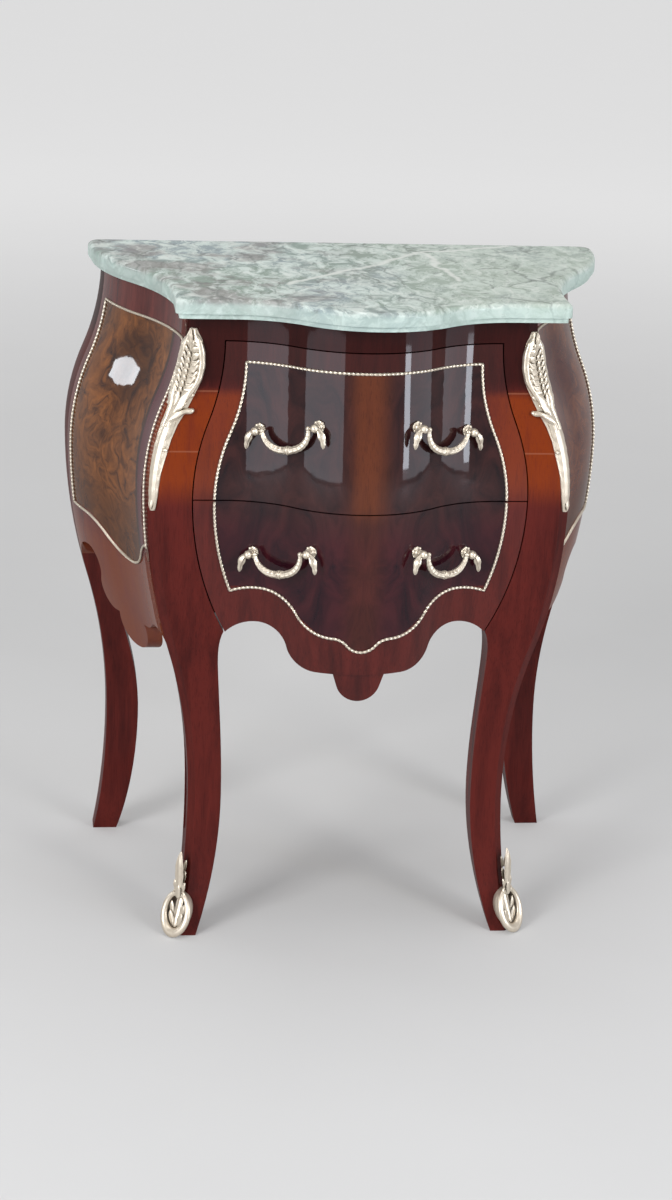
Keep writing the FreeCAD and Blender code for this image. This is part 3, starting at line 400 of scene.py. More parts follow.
gild(upperRope, "upper_drawer", "upper_drawer_trim")
gild(lowerRope, "lower_drawer", "lower_drawer_trim")
gildBoth(sideRopeRight, "sideTwistedTrimLeft", rope["smooth"], "case", "side_trim_right")
print("twisted trims made")


# one acanthus leaf, a unit tall, modelled flat and facing -Y; every mount is built from copies of it

leaf = {
    "columns": 6, "rows": 9, "nearRow": 0.01, "nearColumn": 0.02,
    "thickness": 0.05, "rib": 0.05, "flute": 0.035,
    "widths": (0.3, 0.62, 0.8, 0.62, 0.86, 0.7, 0.82, 0.55, 0.42, 0.06),
    "lifts": (0.0, 0.03, 0.07, 0.1, 0.14, 0.17, 0.21, 0.23, 0.22, 0.17),
}


def makeLeaf():
    columns, rows = leaf["columns"], leaf["rows"]
    piece = added(
        bpy.ops.mesh.primitive_grid_add, x_subdivisions=columns, y_subdivisions=rows, size=1,
        location=(0, 0, 0.5), rotation=(math.pi / 2, 0, 0))
    piece.name = "acanthusLeaf"
    settle(piece)
    for row in range(rows + 1):  # each row takes its width, and lifts off towards the curled tip
        height = row / rows
        pickPoints(piece, lambda co: abs(co.z - height) < leaf["nearRow"])
        bpy.ops.transform.resize(value=(leaf["widths"][row], 1, 1), center_override=(0, 0, height))
        bpy.ops.transform.translate(value=(0, -leaf["lifts"][row], 0))
        bpy.ops.object.mode_set(mode="OBJECT")
    for column in range(columns + 1):  # a rib down the middle and a flute either side
        fold = leaf["rib"] if column == columns / 2 else -leaf["flute"] if column % 2 else 0
        share = column / columns - 0.5

        def inColumn(co):
            wide = leaf["widths"][min(int(round(co.z * rows)), rows)]
            return abs(co.x - share * wide) < leaf["nearColumn"] * wide + leaf["nearRow"] / 20

        pickPoints(piece, inColumn)
        bpy.ops.transform.translate(value=(0, -fold, 0))
        bpy.ops.object.mode_set(mode="OBJECT")
    wall = piece.modifiers.new("Wall", "SOLIDIFY")
    wall.thickness = leaf["thickness"]
    wall.offset = 0
    soft = piece.modifiers.new("Soft", "SUBSURF")
    soft.levels = 1
    soft.render_levels = 1
    applyAll(piece)
    faceOut(piece, 0.0001)
    return piece


def leafAt(aside, level, tall, wide, lean=0, out=0, lift=1.0):
    # a copy of the leaf, in mm: its root at aside and level, leaning to the right by lean degrees
    return copyOf(
        masterLeaf, location=(aside * mm, -out * mm, level * mm),
        rotation=(0, math.radians(lean), 0), scale=(wide * mm, abs(tall) * lift * mm, tall * mm),
    )


masterLeaf = makeLeaf()


# corner mounts, over the plates of the frame: two smooth rims round a dimpled shell, gathered into a stalk

mount = {
    # how wide the mount is at each level, as a share of its two reaches
    "levels": ((742, 0.22), (730, 0.6), (713, 0.87), (701, 1), (684, 1), (665, 0.85), (649, 0.75),
               (634, 0.6), (618, 0.52), (576, 0.4), (549, 0.32), (535, 0.15)),
    "rounding": (-9, -6, -3, 0, 3, 6, 9), "step": 3, "top": 741, "foot": 537, "smooth": 50,
    "frontReach": 20.5, "sideReach": 16, "rimRadius": 4.1, "rimOut": 3.0, "rimFoot": 632,
    "rimInset": 0.9, "rimLeast": 1.2, "headLength": 26, "gatherFrom": 688, "gatherTo": 640,
    "gatheredWide": 2.8, "gatheredSwell": 0.1, "headStart": 4, "headSlim": 0.4, "stalkAside": -0.8,
    # ripples and sway: how much, and over what length
    "rimRipple": (0.06, 2.3), "stalkRipple": (0.03, 2.1), "sway": (0.6, 26),
    "stalkTop": 668, "stalkRadius": 8.6, "stalkFootRadius": 5.4, "stalkOut": 2.4, "flat": 0.52,
    "swellTo": 1 / 1.35, "stalkHead": (0.3, 30), "stalkTail": (0.35, 1 / 9),
    # the dimpled inside: small scales in rows, two or three to a row, each with a bead beside it
    "rowTop": 724, "rowFoot": 664, "rowStep": 6.5, "rowInset": 1.6, "threeFrom": 18, "lean": 34,
    "evenLean": 0.6, "leanShift": 0.05, "scaleSize": (12, 7.5), "scaleDrop": 6, "scaleOut": 3.2,
    "scaleLift": 1.1, "beadAside": 2.2, "beadDrop": 1, "beadOut": 3.6, "bead": 1.5,
    # single leaves: aside, level, length, width, lean, out, lift
    "leaves": ((-1, 714, 28, 10, 0, 2.4, 0.8), (-1, 648, 26, 12, 0, 3.4, 0.6),
               (-0.8, 556, -20, 9, 0, 3.4, 0.5)),
    # the branch that curls off the front of the stalk: aside, level, out, radius
    "branch": ((-1, 634, 2.4, 5.4), (-4, 641, 3.0, 5.2), (-8, 646.5, 3.4, 4.6), (-12, 649.5, 3.4, 3.8),
               (-16, 650.5, 3.2, 3.2), (-19.5, 650, 3.0, 3.0)),
    # buds where the branch and the rims end and low on the stalk: aside, level, out, radius
    "buds": ((-20.5, 650.2, 3.0, 3.6), (-13.8, 668, 3.2, 3.8), (10.5, 657, 2.4, 3.0), (-10, 659, 3.0, 3.0),
             (-7.4, 606, 2.2, 2.5)),
    "budShape": (1.15, 0.85, 0.9),
}


def shareAt(level):
    levels = mount["levels"]
    for (high, wide), (low, narrow) in zip(levels, levels[1:]):
        if low <= level <= high:
            return narrow + (wide - narrow) * (level - low) / (high - low)
    return levels[0][1] if level > levels[0][0] else levels[-1][1]


def softShare(level):  # the same, rounded off
    return sum(shareAt(level + shift) for shift in mount["rounding"]) / len(mount["rounding"])


def flat(aside, level, out):
    return Vector((aside, -out, level)) * mm


def bud(aside, level, out, radius):
    return ball(flat(aside, level, out), radius, 14, 9, mount["budShape"])


def gathered(level):  # 0 in the shell and 1 where the rims have closed on the stalk
    share = min(max((mount["gatherFrom"] - level) / (mount["gatherFrom"] - mount["gatherTo"]), 0), 1)
    return share * share * (3 - 2 * share)


def makeRim(sign, reach):
    rim = []
    radii = []
    for level in evenSteps(mount["top"], mount["rimFoot"], mount["step"]):
        closing = gathered(level)
        wide = max(reach * softShare(level) - mount["rimRadius"] * mount["rimInset"], mount["rimLeast"])
        wide += (mount["gatheredWide"] - wide) * closing
        rim.append(flat(sign * wide + mount["stalkAside"] * closing, level, mount["rimOut"]))
        head = min(1, (mount["top"] + mount["headStart"] - level) / mount["headLength"])
        slim = mount["headSlim"] + (1 - mount["headSlim"]) * head
        much, length = mount["rimRipple"]
        ripple = 1 + much * math.sin(level / length + sign)
        radii.append(mount["rimRadius"] * slim * (1 + mount["gatheredSwell"] * closing) * ripple)
    return curvePiece("mountRim", rim, radii=radii, section=rimSection)


def makeStalk():  # thickest where the rims meet on it
    stalk = []
    radii = []
    top, foot, out = mount["stalkTop"], mount["foot"], mount["stalkOut"]
    for level in evenSteps(top, foot, mount["step"]):
        share = (level - foot) / (top - foot)
        much, length = mount["sway"]
        stalk.append(flat(mount["stalkAside"] - much * math.sin(level / length), level, out))
        swell = (mount["stalkRadius"] - mount["stalkFootRadius"]) * min(1, share / mount["swellTo"])
        start, reach = mount["stalkHead"]
        loss, tail = mount["stalkTail"]
        slim = min(1, start + (top - level) / reach) * (1 - loss * max(0, 1 - share / tail))
        much, length = mount["stalkRipple"]
        ripple = 1 + much * math.sin(level / length)
        radii.append((mount["stalkFootRadius"] + swell) * slim * ripple)
    piece = curvePiece("mountStalk", stalk, radii=radii, section=stalkSection)
    bpy.ops.transform.resize(value=(1, mount["flat"], 1), center_override=(0, -out * mm, 0))
    settle(piece)
    return piece


def makeScales():
    pieces = []
    inset = mount["rimRadius"] * mount["rowInset"]
    for row in range(math.ceil((mount["rowTop"] - mount["rowFoot"]) / mount["rowStep"])):
        level = mount["rowTop"] - row * mount["rowStep"]
        odd = row % 2
        left = inset - mount["frontReach"] * softShare(level)
        right = mount["sideReach"] * softShare(level) - inset
        count = 3 if right - left > mount["threeFrom"] else 2
        for step in range(count):
            share = (step + 0.5) / count
            aside = left + (right - left) * share
            lean = mount["lean"] * (2 * share - 1) * (1 if odd else mount["evenLean"])
            pieces.append(leafAt(
                aside - lean * mount["leanShift"], level - mount["scaleDrop"], *mount["scaleSize"],
                lean, mount["scaleOut"], mount["scaleLift"]))
            beadAside = aside + mount["beadAside"] * (1 if odd else -1)
            pieces.append(bud(beadAside, level - mount["beadDrop"], mount["beadOut"], mount["bead"]))
    return pieces


def makeMount():
    pieces = [makeRim(-1, mount["frontReach"]), makeRim(1, mount["sideReach"]), makeStalk(), *makeScales()]
    pieces += [leafAt(*values) for values in mount["leaves"]]
    branch = [flat(*place) for *place, radius in mount["branch"]]
    radii = [radius for *place, radius in mount["branch"]]
    pieces.append(curvePiece("mountBranch", branch, radii=radii, section=stalkSection))
    pieces += [bud(*values) for values in mount["buds"]]
    return finishPiece(pieces, "cornerAcanthusRight", mount["smooth"], roundCorner)


rimSection = lobedSection("rimSection", mm, 5, 0.05)
stalkSection = lobedSection("stalkSection", mm, 7, 0.06)
gildBoth(makeMount(), "cornerAcanthusLeft", mount["smooth"], "case")
print("corner mounts made")


# sabots: a domed oval shell with a leaf inside it and a tall lobed leaf above

sabot = {
    "middle": 28, "halfWidth": 18, "halfTall": 22.4, "topBar": 3.0, "footBar": 5.0, "steps": 48, "sink": 1.2,
    "foot": 1.5, "tip": 103, "footOut": 12.8, "tipOut": 3, "leafLift": 0.45, "smooth": 50,
    "scrollAside": 5.5, "scrollLevel": 50.5, "scrollOut": 8.6207, "scrollRadii": (2.9, 1.4),
    # how the shell draws in behind the oval, as (share of its size, how far back)
    "shell": ((1.06, 0), (1.08, -3), (1.0, -8), (0.85, -12.5), (0.6, -17)),
    # root aside, root level, length, width, lean, extra out
    "leaves": (
        (0, 47, 56, 17, 0, 0.2), (-2.4, 50, 17, 9, -20, 0.4), (2.4, 50, 17, 9, 20, 0.4),
        (-1.8, 63, 16, 8.5, -16, 0.4), (1.8, 63, 16, 8.5, 16, 0.4), (-1.2, 77, 15, 7, -13, 0.4),
        (1.2, 77, 15, 7, 13, 0.4), (0, 45, 17, 11, 0, 1.4),
        (0, 47, -40, 14, 0, -4.5), (-3, 12, 18, 10, -22, -4.5), (3, 12, 18, 10, 22, -4.5),
        (-6, 20, 20, 9, -12, -5), (6, 20, 20, 9, 12, -5),
    ),
}


def sabotOut(level):
    share = (level - sabot["foot"]) / (sabot["tip"] - sabot["foot"])
    return sabot["footOut"] + (sabot["tipOut"] - sabot["footOut"]) * share


def makeShell():  # behind the oval: a circle extruded back and drawn in ring by ring
    middle = (0, 0, sabot["middle"] * mm)
    shell = added(
        bpy.ops.mesh.primitive_circle_add, vertices=sabot["steps"], radius=1, fill_type="NOTHING",
        location=middle, rotation=(math.pi / 2, 0, 0))
    bpy.ops.transform.resize(value=(sabot["halfWidth"] * mm, 1, sabot["halfTall"] * mm))
    settle(shell)
    before, back = sabot["shell"][0]
    pickPoints(shell, lambda co: True)
    bpy.ops.transform.resize(value=(before, 1, before), center_override=middle)
    for share, place in sabot["shell"][1:]:
        bpy.ops.mesh.extrude_region_move(TRANSFORM_OT_translate={"value": (0, (back - place) * mm, 0)})
        bpy.ops.transform.resize(value=(share / before, 1, share / before), center_override=middle)
        before, back = share, place
    bpy.ops.object.mode_set(mode="OBJECT")
    for vertex in shell.data.vertices:  # leans as the oval does
        vertex.co.y -= (sabotOut(vertex.co.z / mm) - sabot["sink"]) * mm
    return shell


def makeSabot():
    ring = []
    radii = []
    for step in range(sabot["steps"]):
        turn = 2 * math.pi * step / sabot["steps"]
        level = sabot["middle"] + sabot["halfTall"] * math.cos(turn)
        ring.append(flat(sabot["halfWidth"] * math.sin(turn), level, sabotOut(level) - sabot["sink"]))
        radii.append(sabot["topBar"] + (sabot["footBar"] - sabot["topBar"]) * (0.5 - 0.5 * math.cos(turn)))
    pieces = [curvePiece("sabotRing", ring, radii=radii, closed=True, section=rimSection), makeShell()]
    for aside, level, tall, wide, lean, out in sabot["leaves"]:
        pieces.append(leafAt(aside, level, tall, wide, lean, sabotOut(level) + out, sabot["leafLift"]))
    for side in (-1, 1):  # small scrolls where the oval meets the leaf
        place = flat(side * sabot["scrollAside"], sabot["scrollLevel"], sabot["scrollOut"])
        pieces.append(hoop(place, *sabot["scrollRadii"], 20, (math.pi / 2, 0, 0)))
    return finishPiece(pieces, "sabotRight", sabot["smooth"], acrossCorner)


gildBoth(makeSabot(), "sabotLeft", sabot["smooth"], "case", "foot_sabot_right")
print("sabots made")


# handles: a fluted knob on a petalled rose, a drooping leaf, and a leafed bail between two knobs

handle = {
    "upper": ((55, 645), (118, 632)), "lower": ((60, 500), (122.5, 488)),
    "standoff": 12, "ballRadius": 5, "leafReach": 11, "leafDrop": 22, "smooth": 45,
    "profile": (
        (0, -0.4), (6.2, -0.4), (6.7, 0.5), (6.3, 1.5), (4.8, 2.1), (3.6, 3.2), (3.1, 5.0), (3.3, 6.2),
        (4.2, 7.2), (4.4, 7.9), (4.0, 8.5), (4.8, 9.6), (5.15, 11.2), (5.15, 12.8), (4.7, 14.6), (3.8, 15.9),
        (3.5, 16.2), (3.1, 16.9), (1.6, 17.6), (0, 17.7),
    ),
    "steps": 48, "flutes": 12, "fluteDepth": 0.09, "flutesFrom": 8.4,
    "petals": 8, "petalRing": 5.0, "petalLevel": 1.3, "petalSize": (2.5, 1.7, 1.2),
    "armRadii": (2.3, 2.2, 2.15, 2.2, 2.5, 3.0, 3.7, 4.1, 4.0, 3.3, 2.6, 2.7, 2.2, 0.7),
    "budPlace": (9.2, -9.5), "budTilt": 14, "budGap": 2.6, "budLeaf": (5, 6, 9.5),
    "sideGap": 0.4, "knobRadius": 2.9, "drop": 23.5, "bowShare": 0.82, "endRadius": 2.2, "middleRadius": 4.3,
    "bailSteps": 96, "huskLength": 0.13, "huskStep": 0.1, "plainMiddle": 0.06,
    "pinRadius": 1.5, "pinShare": 0.8,
    # the collar in the middle of the bail: three rings, each with its place along the bar and its radius
    "collar": ((-2.4, 3.6), (0, 4.2), (2.4, 3.6)), "collarBar": 1.2,
}
bailSection = lobedSection("bailSection", mm, 7, 0.07)
armSection = lobedSection("armSection", mm, 6, 0.14)


def makePost():
    # stands on its foot along +Z, its leaf hangs towards +X and -Y
    post = turnedPiece("handlePost", handle["profile"], handle["steps"])
    for vertex in post.data.vertices:  # flutes round the knob
        if vertex.co.z > handle["flutesFrom"] * mm:
            flute = 0.5 + 0.5 * math.cos(handle["flutes"] * math.atan2(vertex.co.y, vertex.co.x))
            vertex.co.x *= 1 - handle["fluteDepth"] * flute
            vertex.co.y *= 1 - handle["fluteDepth"] * flute
    pieces = [post]
    ring = handle["petalRing"]
    for step in range(handle["petals"]):
        turn = 2 * math.pi * step / handle["petals"]
        place = Vector((ring * math.cos(turn), ring * math.sin(turn), handle["petalLevel"]))
        pieces.append(ball(place * mm, 1, 10, 7, handle["petalSize"], (0, 0, turn)))
    arm = []
    for step in range(len(handle["armRadii"])):
        turn = math.pi / 2 * step / (len(handle["armRadii"]) - 1)
        drop = handle["leafDrop"] * (1 - math.cos(turn))
        arm.append(Vector((handle["leafReach"] * math.sin(turn), -drop, handle["standoff"])) * mm)
    pieces.append(curvePiece("leafArm", arm, radii=handle["armRadii"], section=armSection))
    # four small leaves open round the bud, hung point down at the widest part of the arm
    place = Matrix.Translation(Vector((*handle["budPlace"], handle["standoff"])) * mm)
    lean = Matrix.Rotation(math.radians(handle["budTilt"]), 4, "Z")
    hang = Matrix.Rotation(math.pi / 2, 4, "X")
    for quarter in range(4):
        petal = copyOf(masterLeaf, (0, handle["budGap"] * mm, 0), scale=Vector(handle["budLeaf"]) * mm)
        petal.data.transform(place @ lean @ hang @ Matrix.Rotation(quarter * math.pi / 2, 4, "Z"))
        pieces.append(petal)
    return joinPieces(pieces, "handlePost")


masterPost = makePost()
faceOut(masterPost, 0.000001)


def handleFrame(name):
    feet = [Vector((span, frontAt(span, level), level)) for span, level in handle[name]]
    across = (feet[1] - feet[0]).normalized()
    out = Vector((across.y, -across.x, 0)).normalized()
    return feet, across, out


def makePosts(name):
    feet, across, out = handleFrame(name)
    level = Vector((across.x, across.y, 0)).normalized()
    pieces = []
    for foot, away in zip(feet, (-level, level)):
        twin = copyOf(masterPost)
        turn = Matrix((away, Vector((0, 0, 1)), out)).transposed().to_4x4()
        twin.data.transform(Matrix.Translation(foot * mm) @ turn)
        faceOut(twin, 0.000001)
        pieces.append(twin)
    pieces += [mirrorOf(twin, "leftPost") for twin in pieces]
    whole = joinPieces(pieces, name + "HandlePosts")
    smoothShade(whole, handle["smooth"])
    return whole


def makeBail(name):
    feet, across, out = handleFrame(name)
    middle = (feet[0] + feet[1]) / 2 + out * handle["standoff"]
    down = out.cross(across).normalized()
    if down.z > 0:
        down = -down
    eye = (feet[1] - feet[0]).length / 2 - handle["ballRadius"] - handle["sideGap"] - handle["knobRadius"]
    bar = []
    radii = []
    for step in range(handle["bailSteps"] + 1):
        share = 1 - 2 * step / handle["bailSteps"]
        turn = share * math.pi / 2
        aside = math.copysign(abs(math.sin(turn)) ** handle["bowShare"], share)
        bar.append((middle + across * (eye * aside) + down * (handle["drop"] * math.cos(turn))) * mm)
        radius = handle["endRadius"] + (handle["middleRadius"] - handle["endRadius"]) * math.cos(turn)
        if abs(share) > handle["plainMiddle"]:  # overlapping husks that open towards the middle
            radius *= 1 - handle["huskStep"] * ((abs(share) / handle["huskLength"]) % 1)
        radii.append(radius)
    pieces = [curvePiece("bailBar", bar, radii=radii, section=bailSection)]
    bottom = middle + down * handle["drop"]
    facing = across.to_track_quat("Z", "Y").to_euler()
    for shift, radius in handle["collar"]:
        pieces.append(hoop((bottom + across * shift) * mm, radius, handle["collarBar"], 28, facing))
    reach = handle["knobRadius"] + handle["sideGap"] * handle["pinShare"]
    for side in (-1, 1):  # a knob and its pin at each end
        end = middle + across * side * eye
        pieces.append(ball(end * mm, handle["knobRadius"], 18, 12, rotation=facing))
        pin = [end * mm, (end + across * side * reach) * mm]
        pieces.append(curvePiece("bailPin", pin, depth=handle["pinRadius"] * mm))
    return finishPiece(pieces, name + "BailRight", handle["smooth"])


for name in ("upper", "lower"):
    gild(makePosts(name), name + "_drawer", name + "_handle_posts")
    bail = name + "_bail_right"
    gildBoth(makeBail(name), name + "BailLeft", handle["smooth"], bail, bail)
for spare in (masterPost, masterLeaf, ropeSection, rimSection, stalkSection, bailSection, armSection):
    bpy.data.objects.remove(spare)
print("handles made")


# shader nodes, with what they put out wrapped so that sums can be written as sums

class Wire:
    def __init__(self, socket):
        self.socket = socket
        self.tree = socket.id_data

    def math(self, operation, *values):
        return mathNode(self.tree, operation, self, *values)

    def __add__(self, other):
        return self.math("ADD", other)

    def __sub__(self, other):
        return self.math("SUBTRACT", other)

    def __rsub__(self, other):
        return mathNode(self.tree, "SUBTRACT", other, self)

    def __mul__(self, other):
        return self.math("MULTIPLY", other)

    def __truediv__(self, other):
        return self.math("DIVIDE", other)

    def __abs__(self):
        return self.math("ABSOLUTE")

    def over(self, other):
        return self.math("GREATER_THAN", other)

    def under(self, other):
        return self.math("LESS_THAN", other)

    def largest(self, other):
        return self.math("MAXIMUM", other)

    def smallest(self, other):
        return self.math("MINIMUM", other)

    def step(self, low, high, interpolation="SMOOTHSTEP"):  # 0 at low and 1 at high
        feeds = {"Value": self, "From Min": low, "From Max": high}
        return Wire(addNode(self.tree, "MapRange", feeds, interpolation_type=interpolation).outputs[0])

    def ramp(self, low, high):
        return self.step(low, high, "LINEAR")

    def mix(self, plain, marked):  # colours: plain where this is 0 and marked where it is 1
        return Wire(addNode(self.tree, "Mix", {0: self, 6: plain, 7: marked}, data_type="RGBA").outputs[2])


def feed(socket, value):
    if isinstance(value, Wire):
        socket.id_data.links.new(value.socket, socket)
    else:
        socket.default_value = (*value, 1) if socket.type == "RGBA" else value


def addNode(tree, kind, feeds, **settings):
    node = tree.nodes.new("ShaderNode" + kind)
    for key, value in settings.items():
        setattr(node, key, value)
    for key, value in feeds.items():
        feed(node.inputs[key], value)
    return node


def mathNode(tree, operation, *values):
    return Wire(addNode(tree, "Math", dict(enumerate(values)), operation=operation).outputs[0])


def vectorNode(operation, *values, scale=None, output="Vector"):
    feeds = dict(enumerate(values))
    if scale is not None:
        feeds["Scale"] = scale
    tree = next(value.tree for value in feeds.values() if isinstance(value, Wire))
    return Wire(addNode(tree, "VectorMath", feeds, operation=operation).outputs[output])


def turned(vector, rotation=(0, 0, 0), scale=(1, 1, 1)):
    feeds = {"Vector": vector, "Rotation": rotation, "Scale": scale}
    return Wire(addNode(vector.tree, "Mapping", feeds).outputs[0])


def noise(vector, scale, detail=2.0, roughness=0.5, distortion=0.0, output=0):
    feeds = {"Vector": vector, "Scale": scale, "Detail": detail, "Roughness": roughness}
    feeds["Distortion"] = distortion
    return Wire(addNode(vector.tree, "TexNoise", feeds).outputs[output])


def warped(vector, scale, reach, detail, roughness=0.5):
    push = vectorNode("SCALE", noise(vector, scale, detail, roughness, output=1), scale=reach)
    return vectorNode("ADD", vector, push)


def splitVector(vector):
    return [Wire(output) for output in addNode(vector.tree, "SeparateXYZ", {0: vector}).outputs]


def placeOf(where):  # x, y and z in mm
    return splitVector(vectorNode("SCALE", where, scale=1 / mm))


def normalOf(tree):
    return splitVector(Wire(addNode(tree, "NewGeometry", {}).outputs["Normal"]))


def newGroup(name, inputs):
    # every group takes a vector and its own values, and puts out a colour and a height
    group = bpy.data.node_groups.new(name, "ShaderNodeTree")
    group.interface.new_socket("Vector", in_out="INPUT", socket_type="NodeSocketVector")
    for key, value in inputs.items():
        isColour = isinstance(value, tuple)
        kind = "NodeSocketColor" if isColour else "NodeSocketFloat"
        socket = group.interface.new_socket(key, in_out="INPUT", socket_type=kind)
        socket.default_value = (*value, 1) if isColour else value
    group.interface.new_socket("Color", in_out="OUTPUT", socket_type="NodeSocketColor")
    group.interface.new_socket("Height", in_out="OUTPUT", socket_type="NodeSocketFloat")
    given = {output.name: Wire(output) for output in group.nodes.new("NodeGroupInput").outputs if output.name}
    return group, given, group.nodes.new("NodeGroupOutput")


def makeGrainGroup():
    # straight wood along the vector's Z: long streaks, a slow change of colour and short pores
    group, given, end = newGroup(
        "grain", {"Dark": (0.03, 0.005, 0.004), "Light": (0.2, 0.05, 0.02), "Width": 120.0, "Waviness": 0.25})
    vector = given["Vector"]
    streaks = noise(turned(vector, scale=(1, 1, 0.09)), given["Width"], 6.0, 0.62, 0.2)
    cloud = noise(turned(vector, scale=(1, 1, 0.35)), 9.0, 3.0, 0.5, 1.2)
    pores = noise(turned(vector, scale=(1, 1, 0.045)), 900.0).ramp(0.36, 0.45)
    colour = (streaks + cloud * given["Waviness"]).ramp(0.42, 0.86).mix(given["Dark"], given["Light"])
    feed(end.inputs["Color"], (pores * -0.3 + 0.3).mix(colour, given["Dark"]))
    feed(end.inputs["Height"], streaks * 0.4 + pores)
    return group


def makeBurlGroup():
    # figured veneer: swirls and eyes folded into each other
    group, given, end = newGroup(
        "burl", {"Dark": (0.05, 0.012, 0.006), "Light": (0.35, 0.12, 0.03), "Size": 14.0})
    moved = warped(given["Vector"], given["Size"], 0.09, 3.0, 0.55)
    swirl = noise(moved, given["Size"] * 2.2, 8.0, 0.6, 2.2)
    eyes = addNode(group, "TexVoronoi", {"Vector": moved, "Scale": given["Size"] * 4.0, "Randomness": 1.0})
    eyeMask = Wire(eyes.outputs["Distance"]).ramp(0.05, 0.3)
    level = swirl.ramp(0.3, 0.68) * (eyeMask * 0.35 + 0.65)
    feed(end.inputs["Color"], level.mix(given["Dark"], given["Light"]))
    feed(end.inputs["Height"], swirl)
    return group


grainGroup = makeGrainGroup()
burlGroup = makeBurlGroup()


def figured(group, vector, dark, light, **values):  # gives the colour and the height
    feeds = {"Vector": vector, "Dark": dark, "Light": light, **values}
    return [Wire(output) for output in addNode(vector.tree, "Group", feeds, node_tree=group).outputs]


def grain(vector, dark, light, width=45.0, waviness=0.4):
    return figured(grainGroup, vector, wood[dark], wood[light], Width=width, Waviness=waviness)


def newMaterial(name):
    material = bpy.data.materials.new(name)
    material.use_nodes = True
    shader = material.node_tree.nodes["Principled BSDF"]
    return material, shader, Wire(addNode(material.node_tree, "TexCoord", {}).outputs["Object"])


def dress(shader, values, height=None, strength=0.0, distance=0.0):
    for key, value in values.items():
        feed(shader.inputs[key], value)
    if height is not None:
        bump = addNode(shader.id_data, "Bump", {"Strength": strength, "Distance": distance, "Height": height})
        feed(shader.inputs["Normal"], Wire(bump.outputs[0]))


wood = {
    # the dark top colour is a darker veneer, and partly painted shade under the overhanging marble
    "legDark": (0.024, 0.004, 0.004), "legLight": (0.088, 0.012, 0.009), "darkTopVeneerAndShade": (0.012, 0.003, 0.003),
    # the pale line colour is for the painted highlights on the joints of the veneer
    "glow": (0.19, 0.029, 0.004), "line": (0.3, 0.11, 0.06), "centre": (0.12, 0.028, 0.008),
    "panelDark": (0.009, 0.0035, 0.005), "panelLight": (0.042, 0.012, 0.011),
    "lowerPanelDark": (0.012, 0.0025, 0.006), "lowerPanelLight": (0.045, 0.008, 0.011),
    # the dark ring colour is a painted dark reflection on the sides, and also the dark edge of the front
    # strip
    "burlDark": (0.035, 0.012, 0.006), "burlLight": (0.21, 0.072, 0.018), "darkReflectionAndEdge": (0.022, 0.009, 0.006),
    "strip": (0.075, 0.018, 0.022), "apronGlow": (0.15, 0.036, 0.013),
    "borderDark": (0.03, 0.007, 0.008), "borderLight": (0.11, 0.024, 0.02),
    "rawDark": (0.3, 0.17, 0.08), "rawLight": (0.5, 0.32, 0.17),
}
polish = {"roughness": 0.15, "bareRoughness": 0.6, "coat": 0.52, "coatRoughness": 0.04, "legRoughness": 0.22,
          "legCoat": 0.22, "legCoatRoughness": 0.05}
# where the colour of the veneer changes, and where shade and a dark reflection are painted on it, in mm
veneer = {
    "warmFrom": (535, 575), "warmTo": (664, 678), "darkAndShadeFrom": (660, 690),
    "lineLevels": (604, 672), "lineEdge": (0.4, 1.3),
    # the eye values give the middle and the edge of the painted dark reflection round the mirrored side
    # window
    "ovalMiddle": (28, 620), "ovalReach": (95, 110), "eye": (36, 662), "reflectionRingEdge": (48, 74),
    "stripEdge": -38, "apronFrom": (425, 470),
}


def warmBand(y, z):  # the warmer stretch of veneer beside the upper drawer
    return z.step(*veneer["warmFrom"]) * (1 - z.step(*veneer["warmTo"])) * y.under(0)


def jointHighlights(y, z):  # painted highlights where the joints of the veneer catch the light
    first, second = (1 - abs(z - level).step(*veneer["lineEdge"]) for level in veneer["lineLevels"])
    return first.largest(second) * y.under(0) * 0.4


def makeLegWood():
    material, shader, where = newMaterial("legVeneer")
    y, z = placeOf(where)[1:]
    plain, height = grain(where, "legDark", "legLight", 70.0, 0.5)
    glow = grain(where, "legLight", "glow", 55.0, 0.6)[0]
    # darker towards the top: a darker veneer, and painted shade under the overhanging marble
    colour = (z.step(*veneer["darkAndShadeFrom"]) * 0.75).mix(plain, wood["darkTopVeneerAndShade"])
    colour = (warmBand(y, z) * 0.85).mix(colour, glow)
    # painted highlights along the joints of the veneer
    colour = jointHighlights(y, z).mix(colour, wood["line"])
    dress(shader, {"Base Color": colour, "Roughness": polish["legRoughness"], "Specular IOR Level": 0.0,
                   "Coat Weight": polish["legCoat"], "Coat Roughness": polish["legCoatRoughness"]},
          height, 0.06, 0.0004)
    return material


def trimMask(across, z):  # 1 inside the drawers' gilt trim
    (topX, topZ), (bellyX, bellyZ), (footX, footZ) = rope["top"], rope["belly"], rope["foot"]
    (crestX, crestZ), (shoulderX, shoulderZ) = rope["crest"], rope["shoulder"]
    fall = ((bellyZ - z) / (bellyZ - footZ)).largest(0.0)
    half = z.step(topZ, bellyZ) * (bellyX - topX) + topX - fall * fall * (bellyX - footX)
    foot = across.step(shoulderX, crestX) * (crestZ - shoulderZ) + shoulderZ
    foot = foot - across.step(shoulderX, 0) * (shoulderZ - rope["point"])
    return across.under(half) * z.over(foot) * z.under(topZ)


def frenchPolish(shader, face, raw, bare, height):  # glossy on the faces and plain where the wood is bare
    roughness = bare * (polish["bareRoughness"] - polish["roughness"]) + polish["roughness"]
    dress(shader, {"Base Color": bare.mix(face, raw), "Roughness": roughness, "Specular IOR Level": 0.0,
                   "Coat Weight": (1 - bare) * polish["coat"], "Coat Roughness": polish["coatRoughness"]},
          height, 0.03, 0.0005)


